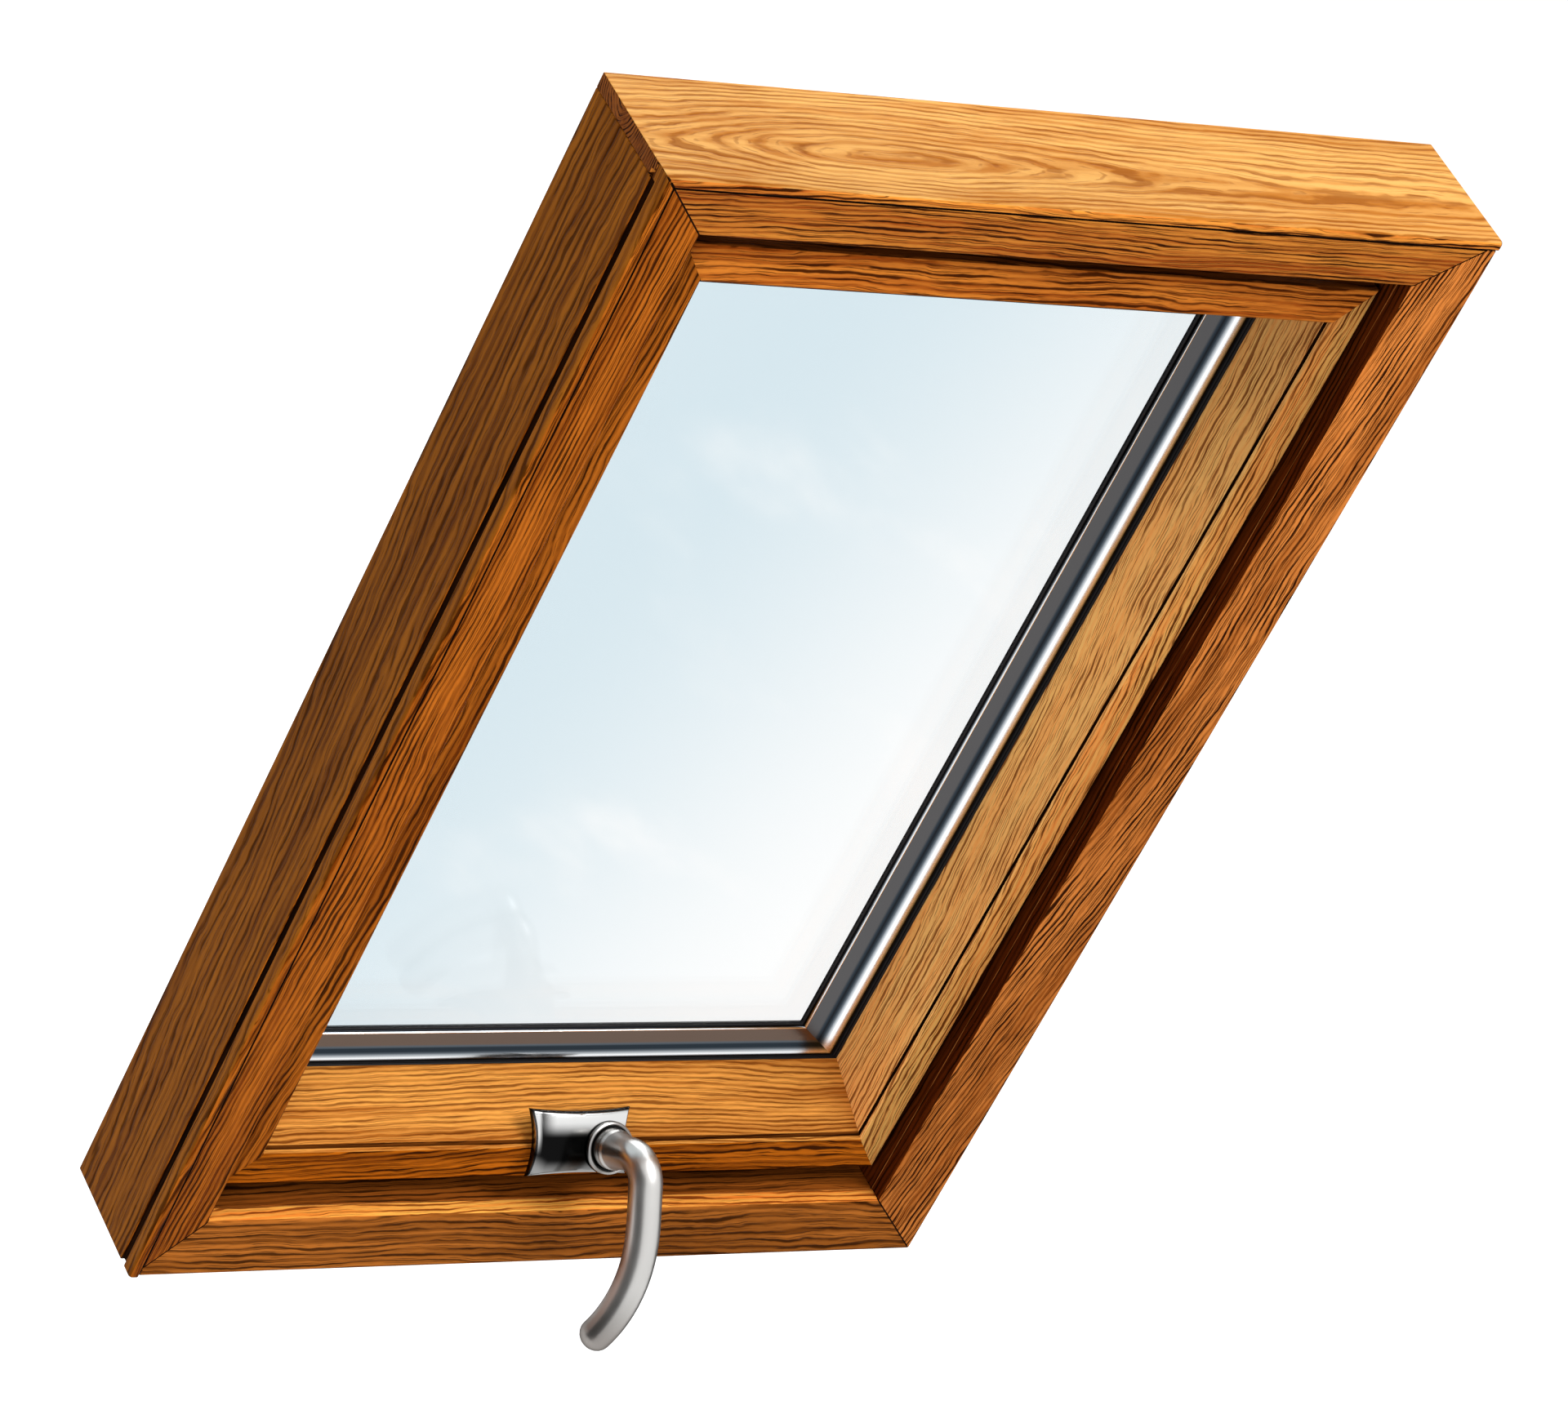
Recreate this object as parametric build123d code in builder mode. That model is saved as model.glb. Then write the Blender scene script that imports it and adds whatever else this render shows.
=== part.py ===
"""Wooden roof window: a timber frame, a closed top-hung sash with sealed double glazing, and a
lever handle on the bottom rail. Millimetres, X across, Z up the roof slope, the room on -Y.
The origin is the centre of the frame's bottom face."""

import os
from math import cos, radians, sin

from build123d import *

# Frame: outer size and the section of its four members
frame_width = 660
frame_height = 980
frame_depth = 105
member_width = 48
rebate_wood = 34
rebate_depth = 80
top_lap = 12
lap_joint_depth = 16
lip_width = 7
lip_round = 3
lining_groove_depth = 3
lining_groove_width = 6
lining_groove_start = 12

# Facing boards on the room side of the frame
facing_thickness = 20
facing_outer_drop = 0.4
facing_inner_drop = 7.5
facing_round = 4
joint_gap = 1.5
joint_depth = 5
shadow_chamfer = 0.8

# Sash: the front lip, the splayed reveal behind it and the flange in the frame's rebate
lip_face_depth = 24.3
stile_lip_gap = 6
rail_lip_gap = 18
stile_lip_width = 24.5
rail_lip_width = 29.6
reveal_end_depth = 81.9
stile_splay = 6.3
rail_splay = 26.8
flange_gap = 4
flange_overlap = 10
seal_thickness = 4
seal_inset = 1
sash_round = 3
shadow_groove_width = 2.8
shadow_groove_depth = 5.5
shadow_groove_start = 3.4

# Glazing: gaskets, beads and the sealed unit
stile_glass_margin = 39.6
rail_glass_margin = 27.1
glass_depth = 95
gasket_width = 6
gasket_drop = 0.6
inner_gasket_width = 3
inner_gasket_height = 2.2
bead_edge_round = 1.4
bead_nose_width = 8.5
bead_nose_drop = 1.3
bead_cove_width = 17
bead_cove_drop = 4.6
bead_lip_width = 3.2
bead_lip_height = 3
bead_lip_rise = 1.1
pane_thickness = 4
pane_gap = 10
spacer_width = 6
spacer_inset = 1.5

# Aluminium covers on the roof side
cover_thickness = 2
cover_glass_overlap = 7
sash_cover_inset = 2
frame_cover_inset = 4
frame_cover_gap = 1

# Hinges in the gap above the sash
hinge_length = 60
hinge_leaf = 2
hinge_leaf_depth = 30
hinge_barrel_radius = 6
hinge_spacing = 430
hinge_depth = 50
hinge_web = 3

# Handle: plate, saddle, collar and lever, on a plane tilted over the sash lip's edge
handle_tilt = 37
plate_x = 2
plate_rise = 5.3
plate_width = 84
plate_height = 49
plate_thickness = 9
plate_side_hollow = 4
plate_end_hollow = 2
plate_round = 3
saddle_web = 2.5
saddle_width = 60
saddle_height = 40
saddle_depth = 17
collar_x = 22
collar_drop = 4
collar_radius = 19.5
collar_height = 8
collar_crown_radius = 15.5
collar_step_radius = 18
collar_rim_height = 3.5
spigot_radius = 9
spigot_clearance = 0.05
end_clearance = 0.3
hub_radius = 15
hub_height = 8
tube_radius = 12.3
lever_neck = 31
lever_projection = 49
lever_bend = 19
lever_lead = 2
lever_turn = 72
lever_turn_drop = 2
lever_length = 130
lever_return = 23
lever_bow = 16

# Worked out from the values above
front = -frame_depth / 2
half_width = frame_width / 2
lining_groove_end = lining_groove_start + lining_groove_width
facing_slope = (facing_inner_drop - facing_outer_drop) / member_width
stile_lip_start = member_width + stile_lip_gap
rail_lip_start = member_width + rail_lip_gap
stile_lip_end = stile_lip_start + stile_lip_width
rail_lip_end = rail_lip_start + rail_lip_width
stile_reveal_end = stile_lip_end + stile_splay
rail_reveal_end = rail_lip_end + rail_splay
flange_start = rebate_wood + flange_gap
flange_depth = rebate_depth + seal_thickness
gasket_ratio = rail_glass_margin / stile_glass_margin
rail_gasket_width = gasket_width * gasket_ratio
stile_glass_start = stile_reveal_end + gasket_width
rail_glass_start = rail_reveal_end + rail_gasket_width
stile_sight = stile_reveal_end + stile_glass_margin
rail_sight = rail_reveal_end + rail_glass_margin
outer_pane_depth = glass_depth + pane_thickness + pane_gap
unit_back_depth = outer_pane_depth + pane_thickness
sash_cover_start = flange_start + sash_cover_inset


def corner(side, end, in_x, in_z, depth):
    """Point beside one corner, measured inward from the frame's outer faces."""
    z = in_z if end < 0 else frame_height - in_z
    return Vector(side * (half_width - in_x), front + depth, z)


def mid_stile(side):
    """Point that every piece on one side holds behind its mitre cuts."""
    return Vector(side * half_width, 0, frame_height / 2)


def mid_rail(end):
    """The same for the pieces at the top or the bottom."""
    return Vector(0, 0, 0 if end < 0 else frame_height)


def mitre(near, far, deeper, kept):
    """Plane through three points, with the kept point on its positive side."""
    normal = (far - near).cross(deeper - near).normalized()
    if (kept - near).dot(normal) < 0:
        normal = normal * -1
    return Plane(origin=near, z_dir=normal)


def upright(side, outline):
    """Section of a stile, from (distance inward, depth) points."""
    return [(side * (half_width - across), front + depth) for across, depth in outline]


def level(end, outline):
    """Section of a rail, from (distance inward, depth) points."""
    return [(front + depth, across if end < 0 else frame_height - across) for across, depth in outline]


def profile(plane, points, rounded=()):
    """Closed section on a plane. rounded holds (corner number, radius) pairs."""
    with BuildSketch(plane) as section:
        with BuildLine():
            Polyline(*points, close=True)
        make_face()
        for number, radius in rounded:
            fillet(section.vertices().sort_by_distance(points[number])[0], radius)
    return section.sketch


def stile_bar(side, outline, low, high, rounded=(), mode=Mode.ADD):
    """Extrudes a stile's section from low to high."""
    section = profile(Plane.XY.offset(low), upright(side, outline), rounded)
    extrude(section, amount=high - low, dir=(0, 0, 1), mode=mode)


def rail_bar(end, outline, reach, rounded=()):
    """Extrudes a rail's section over reach on both sides of the middle."""
    extrude(profile(Plane.YZ, level(end, outline), rounded), amount=reach, both=True)


def finish(builder, name):
    """Labels a finished piece and writes its STEP file."""
    builder.part.label = name
    export_step(builder.part, f"parts/{name}.step")


os.makedirs("parts", exist_ok=True)
SIDES = {"left": -1, "right": 1}
ENDS = {"bottom": -1, "top": 1}

# Frame members. The stiles run up to the top rail's lap and the bottom rail stands between them.
stile_top = frame_height - top_lap
frame_back = [
    (member_width, facing_thickness),
    (member_width, rebate_depth),
    (rebate_wood, rebate_depth),
    (rebate_wood, frame_depth),
    (0, frame_depth),
]
plain_section = [(0, facing_thickness)] + frame_back
lipped_section = [(0, 0), (lip_width, 0), (lip_width, facing_thickness)] + frame_back
lip_section = [(0, 0), (lip_width, 0), (lip_width, lap_joint_depth), (0, lap_joint_depth)]
lap_section = [(0, 0), (lip_width, 0), (lip_width, facing_thickness), (top_lap, facing_thickness),
               (top_lap, frame_depth), (0, frame_depth)]
lining_groove = [
    (0, lining_groove_start),
    (lining_groove_depth, lining_groove_start),
    (lining_groove_depth, lining_groove_end),
    (0, lining_groove_end),
]


def corner_prism(points, depth):
    """Prism at the top left corner, from (inward, downward) points, cut from the front."""
    outline = [(across - half_width, frame_height - down) for across, down in points]
    extrude(profile(Plane.XZ.offset(-front), outline), amount=-depth, mode=Mode.SUBTRACT)


def box_between(low, high, mode=Mode.ADD):
    """Box between two opposite corners."""
    size = Vector(*high) - Vector(*low)
    with Locations(Vector(*low) + size / 2):
        Box(size.X, size.Y, size.Z, mode=mode)


with BuildPart() as frame_left_stile:
    stile_bar(-1, lipped_section, 0, stile_top, [(0, lip_round)])
    stile_bar(-1, lip_section, stile_top, frame_height, [(0, lip_round)])
    corner_prism([(0, 0), (top_lap, 0), (top_lap, top_lap)], lap_joint_depth)
    stile_bar(-1, lining_groove, 0, stile_top, mode=Mode.SUBTRACT)
finish(frame_left_stile, "frame_left_stile")

with BuildPart() as frame_right_stile:
    stile_bar(1, plain_section, 0, stile_top)
finish(frame_right_stile, "frame_right_stile")


def rail_core(end, start):
    """The part of a frame rail that stands between the stiles."""
    core = [(start, facing_thickness), (member_width, facing_thickness),
            (member_width, rebate_depth), (start, rebate_depth)]
    back = [(start, rebate_depth), (rebate_wood, rebate_depth),
            (rebate_wood, frame_depth), (start, frame_depth)]
    rail_bar(end, core, half_width - member_width)
    rail_bar(end, back, half_width - rebate_wood)


with BuildPart() as frame_top_rail:
    rail_bar(1, lap_section, half_width, [(0, lip_round)])
    corner_prism([(0, 0), (0, top_lap), (top_lap, top_lap)], lap_joint_depth)
    rail_core(1, top_lap)
finish(frame_top_rail, "frame_top_rail")

with BuildPart() as frame_bottom_rail:
    rail_core(-1, 0)
finish(frame_bottom_rail, "frame_bottom_rail")

# Facing boards, mitred at the corners. Top and left stop at the frame's lip with a shadow joint.
facing_start = lip_width + joint_gap


def facing_face(across):
    """Depth of the facing's sloping face."""
    return facing_outer_drop + facing_slope * across


facing_inside = [
    (member_width, facing_face(member_width)),
    (member_width, facing_thickness - shadow_chamfer),
    (member_width - shadow_chamfer, facing_thickness),
]
lipped_facing = [
    (facing_start, facing_face(facing_start)),
    *facing_inside,
    (lip_width, facing_thickness),
    (lip_width, joint_depth),
    (facing_start, joint_depth),
]
plain_facing = [(0, facing_face(0)), *facing_inside, (0, facing_thickness)]


def facing_mitre(side, end, kept):
    """Keeps one side of the frame's diagonal at a corner."""
    diagonal = mitre(corner(side, end, 0, 0, 0), corner(side, end, member_width, member_width, 0),
                     corner(side, end, 0, 0, frame_depth), kept)
    split(bisect_by=diagonal, keep=Keep.TOP)


with BuildPart() as facing_left:
    stile_bar(-1, lipped_facing, 0, frame_height, [(1, facing_round)])
    for end in ENDS.values():
        facing_mitre(-1, end, mid_stile(-1))
finish(facing_left, "facing_left")

with BuildPart() as facing_right:
    stile_bar(1, plain_facing, 0, frame_height - facing_start, [(0, lip_round), (1, facing_round)])
    for end in ENDS.values():
        facing_mitre(1, end, mid_stile(1))
    stile_bar(1, lining_groove, 0, frame_height, mode=Mode.SUBTRACT)
finish(facing_right, "facing_right")

with BuildPart() as facing_top:
    rail_bar(1, lipped_facing, half_width, [(1, facing_round)])
    for side in SIDES.values():
        facing_mitre(side, 1, mid_rail(1))
finish(facing_top, "facing_top")

with BuildPart() as facing_bottom:
    rail_bar(-1, plain_facing, half_width, [(0, lip_round), (1, facing_round)])
    for side in SIDES.values():
        facing_mitre(side, -1, mid_rail(-1))
    box_between((-half_width, front, 0), (-half_width + facing_start, front + facing_thickness,
                member_width), mode=Mode.SUBTRACT)
finish(facing_bottom, "facing_bottom")


# Sash: members with the lip, the splayed reveal and the flange, joined on a tilted mitre
def opening(in_x, in_z, depth):
    """Rectangle in the window's plane, at a depth and a distance inward from the frame."""
    with BuildSketch(Plane.XZ.offset(-front - depth)) as rectangle:
        with Locations((0, frame_height / 2)):
            Rectangle(frame_width - 2 * in_x, frame_height - 2 * in_z)
    return rectangle.sketch


def slab(in_x, in_z, low, high, mode=Mode.ADD):
    """Rectangular slab between two depths."""
    extrude(opening(in_x, in_z, low), amount=low - high, mode=mode)


def splay_at(depth, lip_end, splay):
    """Distance inward of the reveal's surface at a depth."""
    return lip_end + splay * (depth - lip_face_depth) / (reveal_end_depth - lip_face_depth)


def sash_sections(lip_start, lip_end, splay):
    """Sections of a sash member in front of its flange and at its flange."""
    at_flange = splay_at(flange_depth, lip_end, splay)
    lip = [(lip_start, lip_face_depth), (lip_end, lip_face_depth),
           (at_flange, flange_depth), (lip_start, flange_depth)]
    flange = [(flange_start, flange_depth), (at_flange, flange_depth),
              (splay_at(frame_depth, lip_end, splay), frame_depth), (flange_start, frame_depth)]
    return lip, flange


def sash_mitre(side, end, kept):
    """Keeps one side of the joint through the lip's corners and the reveal's corner line."""
    joint = mitre(corner(side, end, stile_lip_start, rail_lip_start, lip_face_depth),
                  corner(side, end, stile_lip_end, rail_lip_end, lip_face_depth),
                  corner(side, end, stile_reveal_end, rail_reveal_end, reveal_end_depth), kept)
    split(bisect_by=joint, keep=Keep.TOP)


def sash_recesses():
    """Cuts the shadow groove behind the lip and the seat of the glazing."""
    groove_start = lip_face_depth + shadow_groove_start
    slab(stile_lip_end - shadow_groove_depth, rail_lip_end - shadow_groove_depth, groove_start,
         groove_start + shadow_groove_width, mode=Mode.SUBTRACT)
    slab(stile_reveal_end, rail_reveal_end, reveal_end_depth, frame_depth, mode=Mode.SUBTRACT)


stile_sections = sash_sections(stile_lip_start, stile_lip_end, stile_splay)
rail_sections = sash_sections(rail_lip_start, rail_lip_end, rail_splay)
lip_rounds = [(0, sash_round), (1, sash_round)]

with BuildPart() as sash_left_stile:
    stile_bar(-1, stile_sections[0], rail_lip_start, frame_height - rail_lip_start, lip_rounds)
    stile_bar(-1, stile_sections[1], flange_start, frame_height - flange_start)
    for end in ENDS.values():
        sash_mitre(-1, end, mid_stile(-1))
    sash_recesses()
finish(sash_left_stile, "sash_left_stile")

with BuildPart() as sash_right_stile:
    mirror(sash_left_stile.part, about=Plane.YZ)
finish(sash_right_stile, "sash_right_stile")

with BuildPart() as sash_bottom_rail:
    rail_bar(-1, rail_sections[0], half_width - stile_lip_start, lip_rounds)
    rail_bar(-1, rail_sections[1], half_width - flange_start)
    for side in SIDES.values():
        sash_mitre(side, -1, mid_rail(-1))
    sash_recesses()
finish(sash_bottom_rail, "sash_bottom_rail")

with BuildPart() as sash_top_rail:
    mirror(sash_bottom_rail.part, about=Plane.XY.offset(frame_height / 2))
finish(sash_top_rail, "sash_top_rail")

# Weather seal between the frame's rebate and the sash flange
with BuildPart() as weather_seal:
    slab(flange_start + seal_inset, flange_start + seal_inset, rebate_depth, flange_depth)
    slab(flange_start + flange_overlap - seal_inset, flange_start + flange_overlap - seal_inset,
         rebate_depth, flange_depth, mode=Mode.SUBTRACT)
finish(weather_seal, "weather_seal")

# Glazing: the sealed unit in its gasket, and the beads that clamp it from the room
with BuildPart() as glazing_gasket:
    slab(stile_reveal_end, rail_reveal_end, reveal_end_depth + gasket_drop, unit_back_depth)
    slab(stile_glass_start, rail_glass_start, reveal_end_depth + gasket_drop, unit_back_depth,
         mode=Mode.SUBTRACT)
finish(glazing_gasket, "glazing_gasket")

with BuildPart() as glass_inner_pane:
    slab(stile_glass_start, rail_glass_start, glass_depth, glass_depth + pane_thickness)
finish(glass_inner_pane, "glass_inner_pane")

with BuildPart() as glass_outer_pane:
    slab(stile_glass_start, rail_glass_start, outer_pane_depth, unit_back_depth)
finish(glass_outer_pane, "glass_outer_pane")

with BuildPart() as glass_spacer:
    slab(stile_glass_start + spacer_inset, rail_glass_start + spacer_inset,
         glass_depth + pane_thickness, outer_pane_depth)
    slab(stile_glass_start + spacer_inset + spacer_width,
         rail_glass_start + spacer_inset + spacer_width,
         glass_depth + pane_thickness, outer_pane_depth, mode=Mode.SUBTRACT)
finish(glass_spacer, "glass_spacer")

with BuildPart() as inner_gasket:
    slab(stile_sight - inner_gasket_width, rail_sight - inner_gasket_width * gasket_ratio,
         glass_depth - inner_gasket_height, glass_depth)
    slab(stile_sight, rail_sight, glass_depth - inner_gasket_height, glass_depth,
         mode=Mode.SUBTRACT)
finish(inner_gasket, "inner_gasket")


def bead_section(start, end_across, ratio):
    """Bead with a raised nose, a cove and a thin lip. ratio narrows it on the rails."""
    crown = reveal_end_depth + gasket_drop
    nose = start + bead_nose_width * ratio
    cove = start + bead_cove_width * ratio
    lip = end_across - bead_lip_width * ratio
    return [
        (start, glass_depth),
        (start, crown + bead_edge_round),
        (start + bead_edge_round, crown),
        (nose, crown + bead_nose_drop),
        (cove, crown + bead_cove_drop),
        (lip, glass_depth - bead_lip_height),
        ((lip + end_across) / 2, glass_depth - bead_lip_height - bead_lip_rise),
        (end_across, glass_depth - bead_lip_height),
        (end_across, glass_depth),
    ]


def bead_mitre(side, end, kept):
    """Keeps one side of the bead's joint at a corner."""
    joint = mitre(corner(side, end, stile_reveal_end, rail_reveal_end, glass_depth),
                  corner(side, end, stile_sight, rail_sight, glass_depth),
                  corner(side, end, stile_reveal_end, rail_reveal_end, reveal_end_depth), kept)
    split(bisect_by=joint, keep=Keep.TOP)


for name, side in SIDES.items():
    with BuildPart() as stile_bead:
        stile_bar(side, bead_section(stile_glass_start, stile_sight - inner_gasket_width, 1),
                  0, frame_height)
        for end in ENDS.values():
            bead_mitre(side, end, mid_stile(side))
    finish(stile_bead, f"glazing_bead_{name}")

for name, end in ENDS.items():
    with BuildPart() as rail_bead:
        rail_bar(end, bead_section(rail_glass_start, rail_sight - inner_gasket_width * gasket_ratio,
                                   gasket_ratio), half_width)
        for side in SIDES.values():
            bead_mitre(side, end, mid_rail(end))
    finish(rail_bead, f"glazing_bead_{name}")

# Aluminium covers on the roof side, mitred. The sash's have a leg that stands on the flange.
stile_cover_end = stile_glass_start + cover_glass_overlap
rail_cover_end = rail_glass_start + cover_glass_overlap


def sash_cover_section(end_across):
    """Flat cover over the sash and the glass edge, with its outer leg."""
    top = unit_back_depth + cover_thickness
    return [(sash_cover_start, frame_depth), (sash_cover_start + cover_thickness, frame_depth),
            (sash_cover_start + cover_thickness, unit_back_depth), (end_across, unit_back_depth),
            (end_across, top), (sash_cover_start, top)]


def cover_mitre(side, end, start, end_across, end_up, kept):
    """Keeps one side of a cover's joint at a corner."""
    joint = mitre(corner(side, end, start, start, frame_depth),
                  corner(side, end, end_across, end_up, frame_depth),
                  corner(side, end, start, start, unit_back_depth), kept)
    split(bisect_by=joint, keep=Keep.TOP)


frame_cover_end = rebate_wood - frame_cover_gap
frame_cover_section = [
    (frame_cover_inset, frame_depth), (frame_cover_end, frame_depth),
    (frame_cover_end, frame_depth + cover_thickness),
    (frame_cover_inset, frame_depth + cover_thickness),
]

for name, side in SIDES.items():
    with BuildPart() as sash_stile_cover:
        stile_bar(side, sash_cover_section(stile_cover_end), 0, frame_height)
        for end in ENDS.values():
            cover_mitre(side, end, sash_cover_start, stile_cover_end, rail_cover_end, mid_stile(side))
    finish(sash_stile_cover, f"sash_cover_{name}")
    with BuildPart() as frame_stile_cover:
        stile_bar(side, frame_cover_section, 0, frame_height)
        for end in ENDS.values():
            cover_mitre(side, end, frame_cover_inset, frame_cover_end, frame_cover_end, mid_stile(side))
    finish(frame_stile_cover, f"frame_cover_{name}")

for name, end in ENDS.items():
    with BuildPart() as sash_rail_cover:
        rail_bar(end, sash_cover_section(rail_cover_end), half_width)
        for side in SIDES.values():
            cover_mitre(side, end, sash_cover_start, stile_cover_end, rail_cover_end, mid_rail(end))
    finish(sash_rail_cover, f"sash_cover_{name}")
    with BuildPart() as frame_rail_cover:
        rail_bar(end, frame_cover_section, half_width)
        for side in SIDES.values():
            cover_mitre(side, end, frame_cover_inset, frame_cover_end, frame_cover_end, mid_rail(end))
    finish(frame_rail_cover, f"frame_cover_{name}")

# Hinges: a leaf under the frame's top rail, a leaf on the sash, and the barrel that joins them
hinge_top = frame_height - member_width
hinge_bottom = frame_height - rail_lip_start
hinge_middle = (hinge_top + hinge_bottom) / 2

for name, side in SIDES.items():
    hinge_x = side * hinge_spacing / 2
    with BuildPart() as hinge:
        with BuildSketch(Plane.YZ.offset(hinge_x)) as hinge_section:
            with Locations((front + hinge_depth, hinge_middle)):
                Circle(hinge_barrel_radius)
                Rectangle(hinge_web, hinge_top - hinge_bottom)
            with Locations((front + hinge_depth, hinge_top - hinge_leaf / 2),
                           (front + hinge_depth, hinge_bottom + hinge_leaf / 2)):
                Rectangle(hinge_leaf_depth, hinge_leaf)
        extrude(hinge_section.sketch, amount=hinge_length / 2, both=True)
    finish(hinge, f"hinge_{name}")

# Handle. Its plane leans back over the edge between the lip and the reveal, so local X runs
# across, local Y up along the plate and local Z out of it, towards the hand.
out = Vector(0, -cos(radians(handle_tilt)), sin(radians(handle_tilt)))
lip_edge = Vector(plate_x, front + lip_face_depth, rail_lip_end)
back_plane = Plane(origin=lip_edge + out * saddle_web, x_dir=(1, 0, 0), z_dir=out)
plate_centre = back_plane.from_local_coords(Vector(0, plate_rise, 0))
plate_plane = Plane(origin=plate_centre, x_dir=(1, 0, 0), z_dir=out)
collar_centre = plate_plane.from_local_coords(Vector(collar_x, -collar_drop, plate_thickness))
collar_plane = Plane(origin=collar_centre, x_dir=(1, 0, 0), z_dir=out)
collar_section = Plane(origin=collar_centre, x_dir=(1, 0, 0), z_dir=Vector(1, 0, 0).cross(out))
handle_axis = Axis(collar_centre, out)

with BuildPart() as handle_plate:
    with BuildSketch(plate_plane) as plate_outline:
        with BuildLine():
            right, top = plate_width / 2, plate_height / 2
            ThreePointArc((-right, top), (0, top - plate_end_hollow), (right, top))
            ThreePointArc((right, top), (right - plate_side_hollow, 0), (right, -top))
            ThreePointArc((right, -top), (0, -top + plate_end_hollow), (-right, -top))
            ThreePointArc((-right, -top), (-right + plate_side_hollow, 0), (-right, top))
        make_face()
    extrude(plate_outline.sketch, amount=plate_thickness)
    front_edges = handle_plate.faces().filter_by(Plane(plate_centre, z_dir=out)).sort_by(handle_axis)
    fillet(front_edges[-1].edges(), radius=plate_round)
finish(handle_plate, "handle_plate")

with BuildPart() as handle_saddle:
    with BuildSketch(plate_plane) as saddle_outline:
        Rectangle(saddle_width, saddle_height)
    extrude(saddle_outline.sketch, amount=-saddle_depth)
    add(sash_bottom_rail.part, mode=Mode.SUBTRACT)
finish(handle_saddle, "handle_saddle")

with BuildPart() as handle_collar:
    with BuildSketch(collar_section) as collar_half:
        with BuildLine():
            bore = spigot_radius + spigot_clearance
            Polyline((bore, 0), (collar_radius, 0), (collar_radius, collar_rim_height),
                     (collar_step_radius, collar_height / 2),
                     (collar_crown_radius, collar_height), (bore, collar_height), close=True)
        make_face()
    revolve(collar_half.sketch, axis=handle_axis)
finish(handle_collar, "handle_collar")

with BuildPart() as handle_lever:
    hub_start = collar_height + end_clearance
    hub_top = hub_start + hub_height
    with BuildSketch(collar_section) as hub_half:
        with BuildLine():
            Polyline((0, end_clearance), (spigot_radius, end_clearance), (spigot_radius, hub_start),
                     (hub_radius, hub_start), (tube_radius, hub_top), (0, hub_top), close=True)
        make_face()
    revolve(hub_half.sketch, axis=handle_axis)
    bend_end = Vector(lever_lead, -lever_bend, lever_projection)
    grip_turn = Vector(lever_lead / 2, -lever_turn, lever_projection - lever_turn_drop)
    tip = Vector(-lever_bow, -lever_length, lever_projection - lever_return)
    with BuildLine() as lever_route:
        neck = Line(collar_plane.from_local_coords(Vector(0, 0, hub_top)),
                    collar_plane.from_local_coords(Vector(0, 0, lever_neck)))
        bend = TangentArc(neck @ 1, collar_plane.from_local_coords(bend_end), tangent=neck % 1)
        grip = TangentArc(bend @ 1, collar_plane.from_local_coords(grip_turn), tangent=bend % 1)
        TangentArc(grip @ 1, collar_plane.from_local_coords(tip), tangent=grip % 1)
    with BuildSketch(Plane(origin=lever_route.line @ 0, z_dir=out)) as tube:
        Circle(tube_radius)
    sweep(tube.sketch, path=lever_route.line)
    with Locations(lever_route.line @ 1):
        Sphere(tube_radius)
finish(handle_lever, "handle_lever")
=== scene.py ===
"""Dressed model of the wooden roof window: timber, glazing trim, glass, covers and handle.

Metres, X across, Y away from the room, Z up the roof slope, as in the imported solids.
"""

import logging
from dataclasses import dataclass
from enum import Enum
from functools import cache
from math import cos, pi, radians, sin
from typing import Iterable

import bmesh
import bpy
from bmesh.types import BMEdge, BMesh, BMFace, BMVert
from bpy.types import Material, Node, NodeSocket, NodeTree, Object
from mathutils import Euler, Matrix, Vector


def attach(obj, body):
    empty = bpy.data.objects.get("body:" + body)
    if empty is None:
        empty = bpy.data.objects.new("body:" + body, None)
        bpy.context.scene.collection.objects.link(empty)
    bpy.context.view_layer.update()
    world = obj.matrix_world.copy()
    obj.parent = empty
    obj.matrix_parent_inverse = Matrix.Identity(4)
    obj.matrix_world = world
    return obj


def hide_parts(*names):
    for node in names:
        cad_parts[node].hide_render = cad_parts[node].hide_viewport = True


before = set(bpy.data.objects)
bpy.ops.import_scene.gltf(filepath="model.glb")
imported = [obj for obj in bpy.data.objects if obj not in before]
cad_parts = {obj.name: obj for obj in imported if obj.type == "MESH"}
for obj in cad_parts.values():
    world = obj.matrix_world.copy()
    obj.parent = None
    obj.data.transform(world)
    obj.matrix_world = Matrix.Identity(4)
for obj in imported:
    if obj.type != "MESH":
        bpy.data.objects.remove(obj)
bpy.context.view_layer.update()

LOG = logging.getLogger("roof_window")
Colour = tuple[float, float, float]
Place = tuple[float, float, float]
Point = tuple[float, float]


# Sizes

@dataclass(frozen=True)
class WindowSizes:
    """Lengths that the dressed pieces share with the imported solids."""

    width: float = 0.660
    height: float = 0.980
    depth: float = 0.105
    reveal_start_x: float = 0.0848
    reveal_start_z: float = 0.1224
    glass_margin_x: float = 0.0396
    glass_margin_z: float = 0.0271
    reveal_depth: float = 0.0819
    glass_depth: float = 0.095
    unit_back: float = 0.113
    gasket: float = 0.006
    inner_gasket: float = 0.003
    handle_tilt: float = radians(37)

    @property
    def front(self) -> float:
        """Y of the room-side face of the frame."""
        return -self.depth / 2

    @property
    def ratio(self) -> float:
        """How much narrower the trim is on the rails than on the stiles."""
        return self.glass_margin_z / self.glass_margin_x


SIZES = WindowSizes()


class GrainAxis(Enum):
    """Direction that a timber member's grain follows, as a turn about Y in degrees."""

    ACROSS = 0.0
    UPWARD = 90.0


ACROSS, UPWARD = GrainAxis


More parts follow.
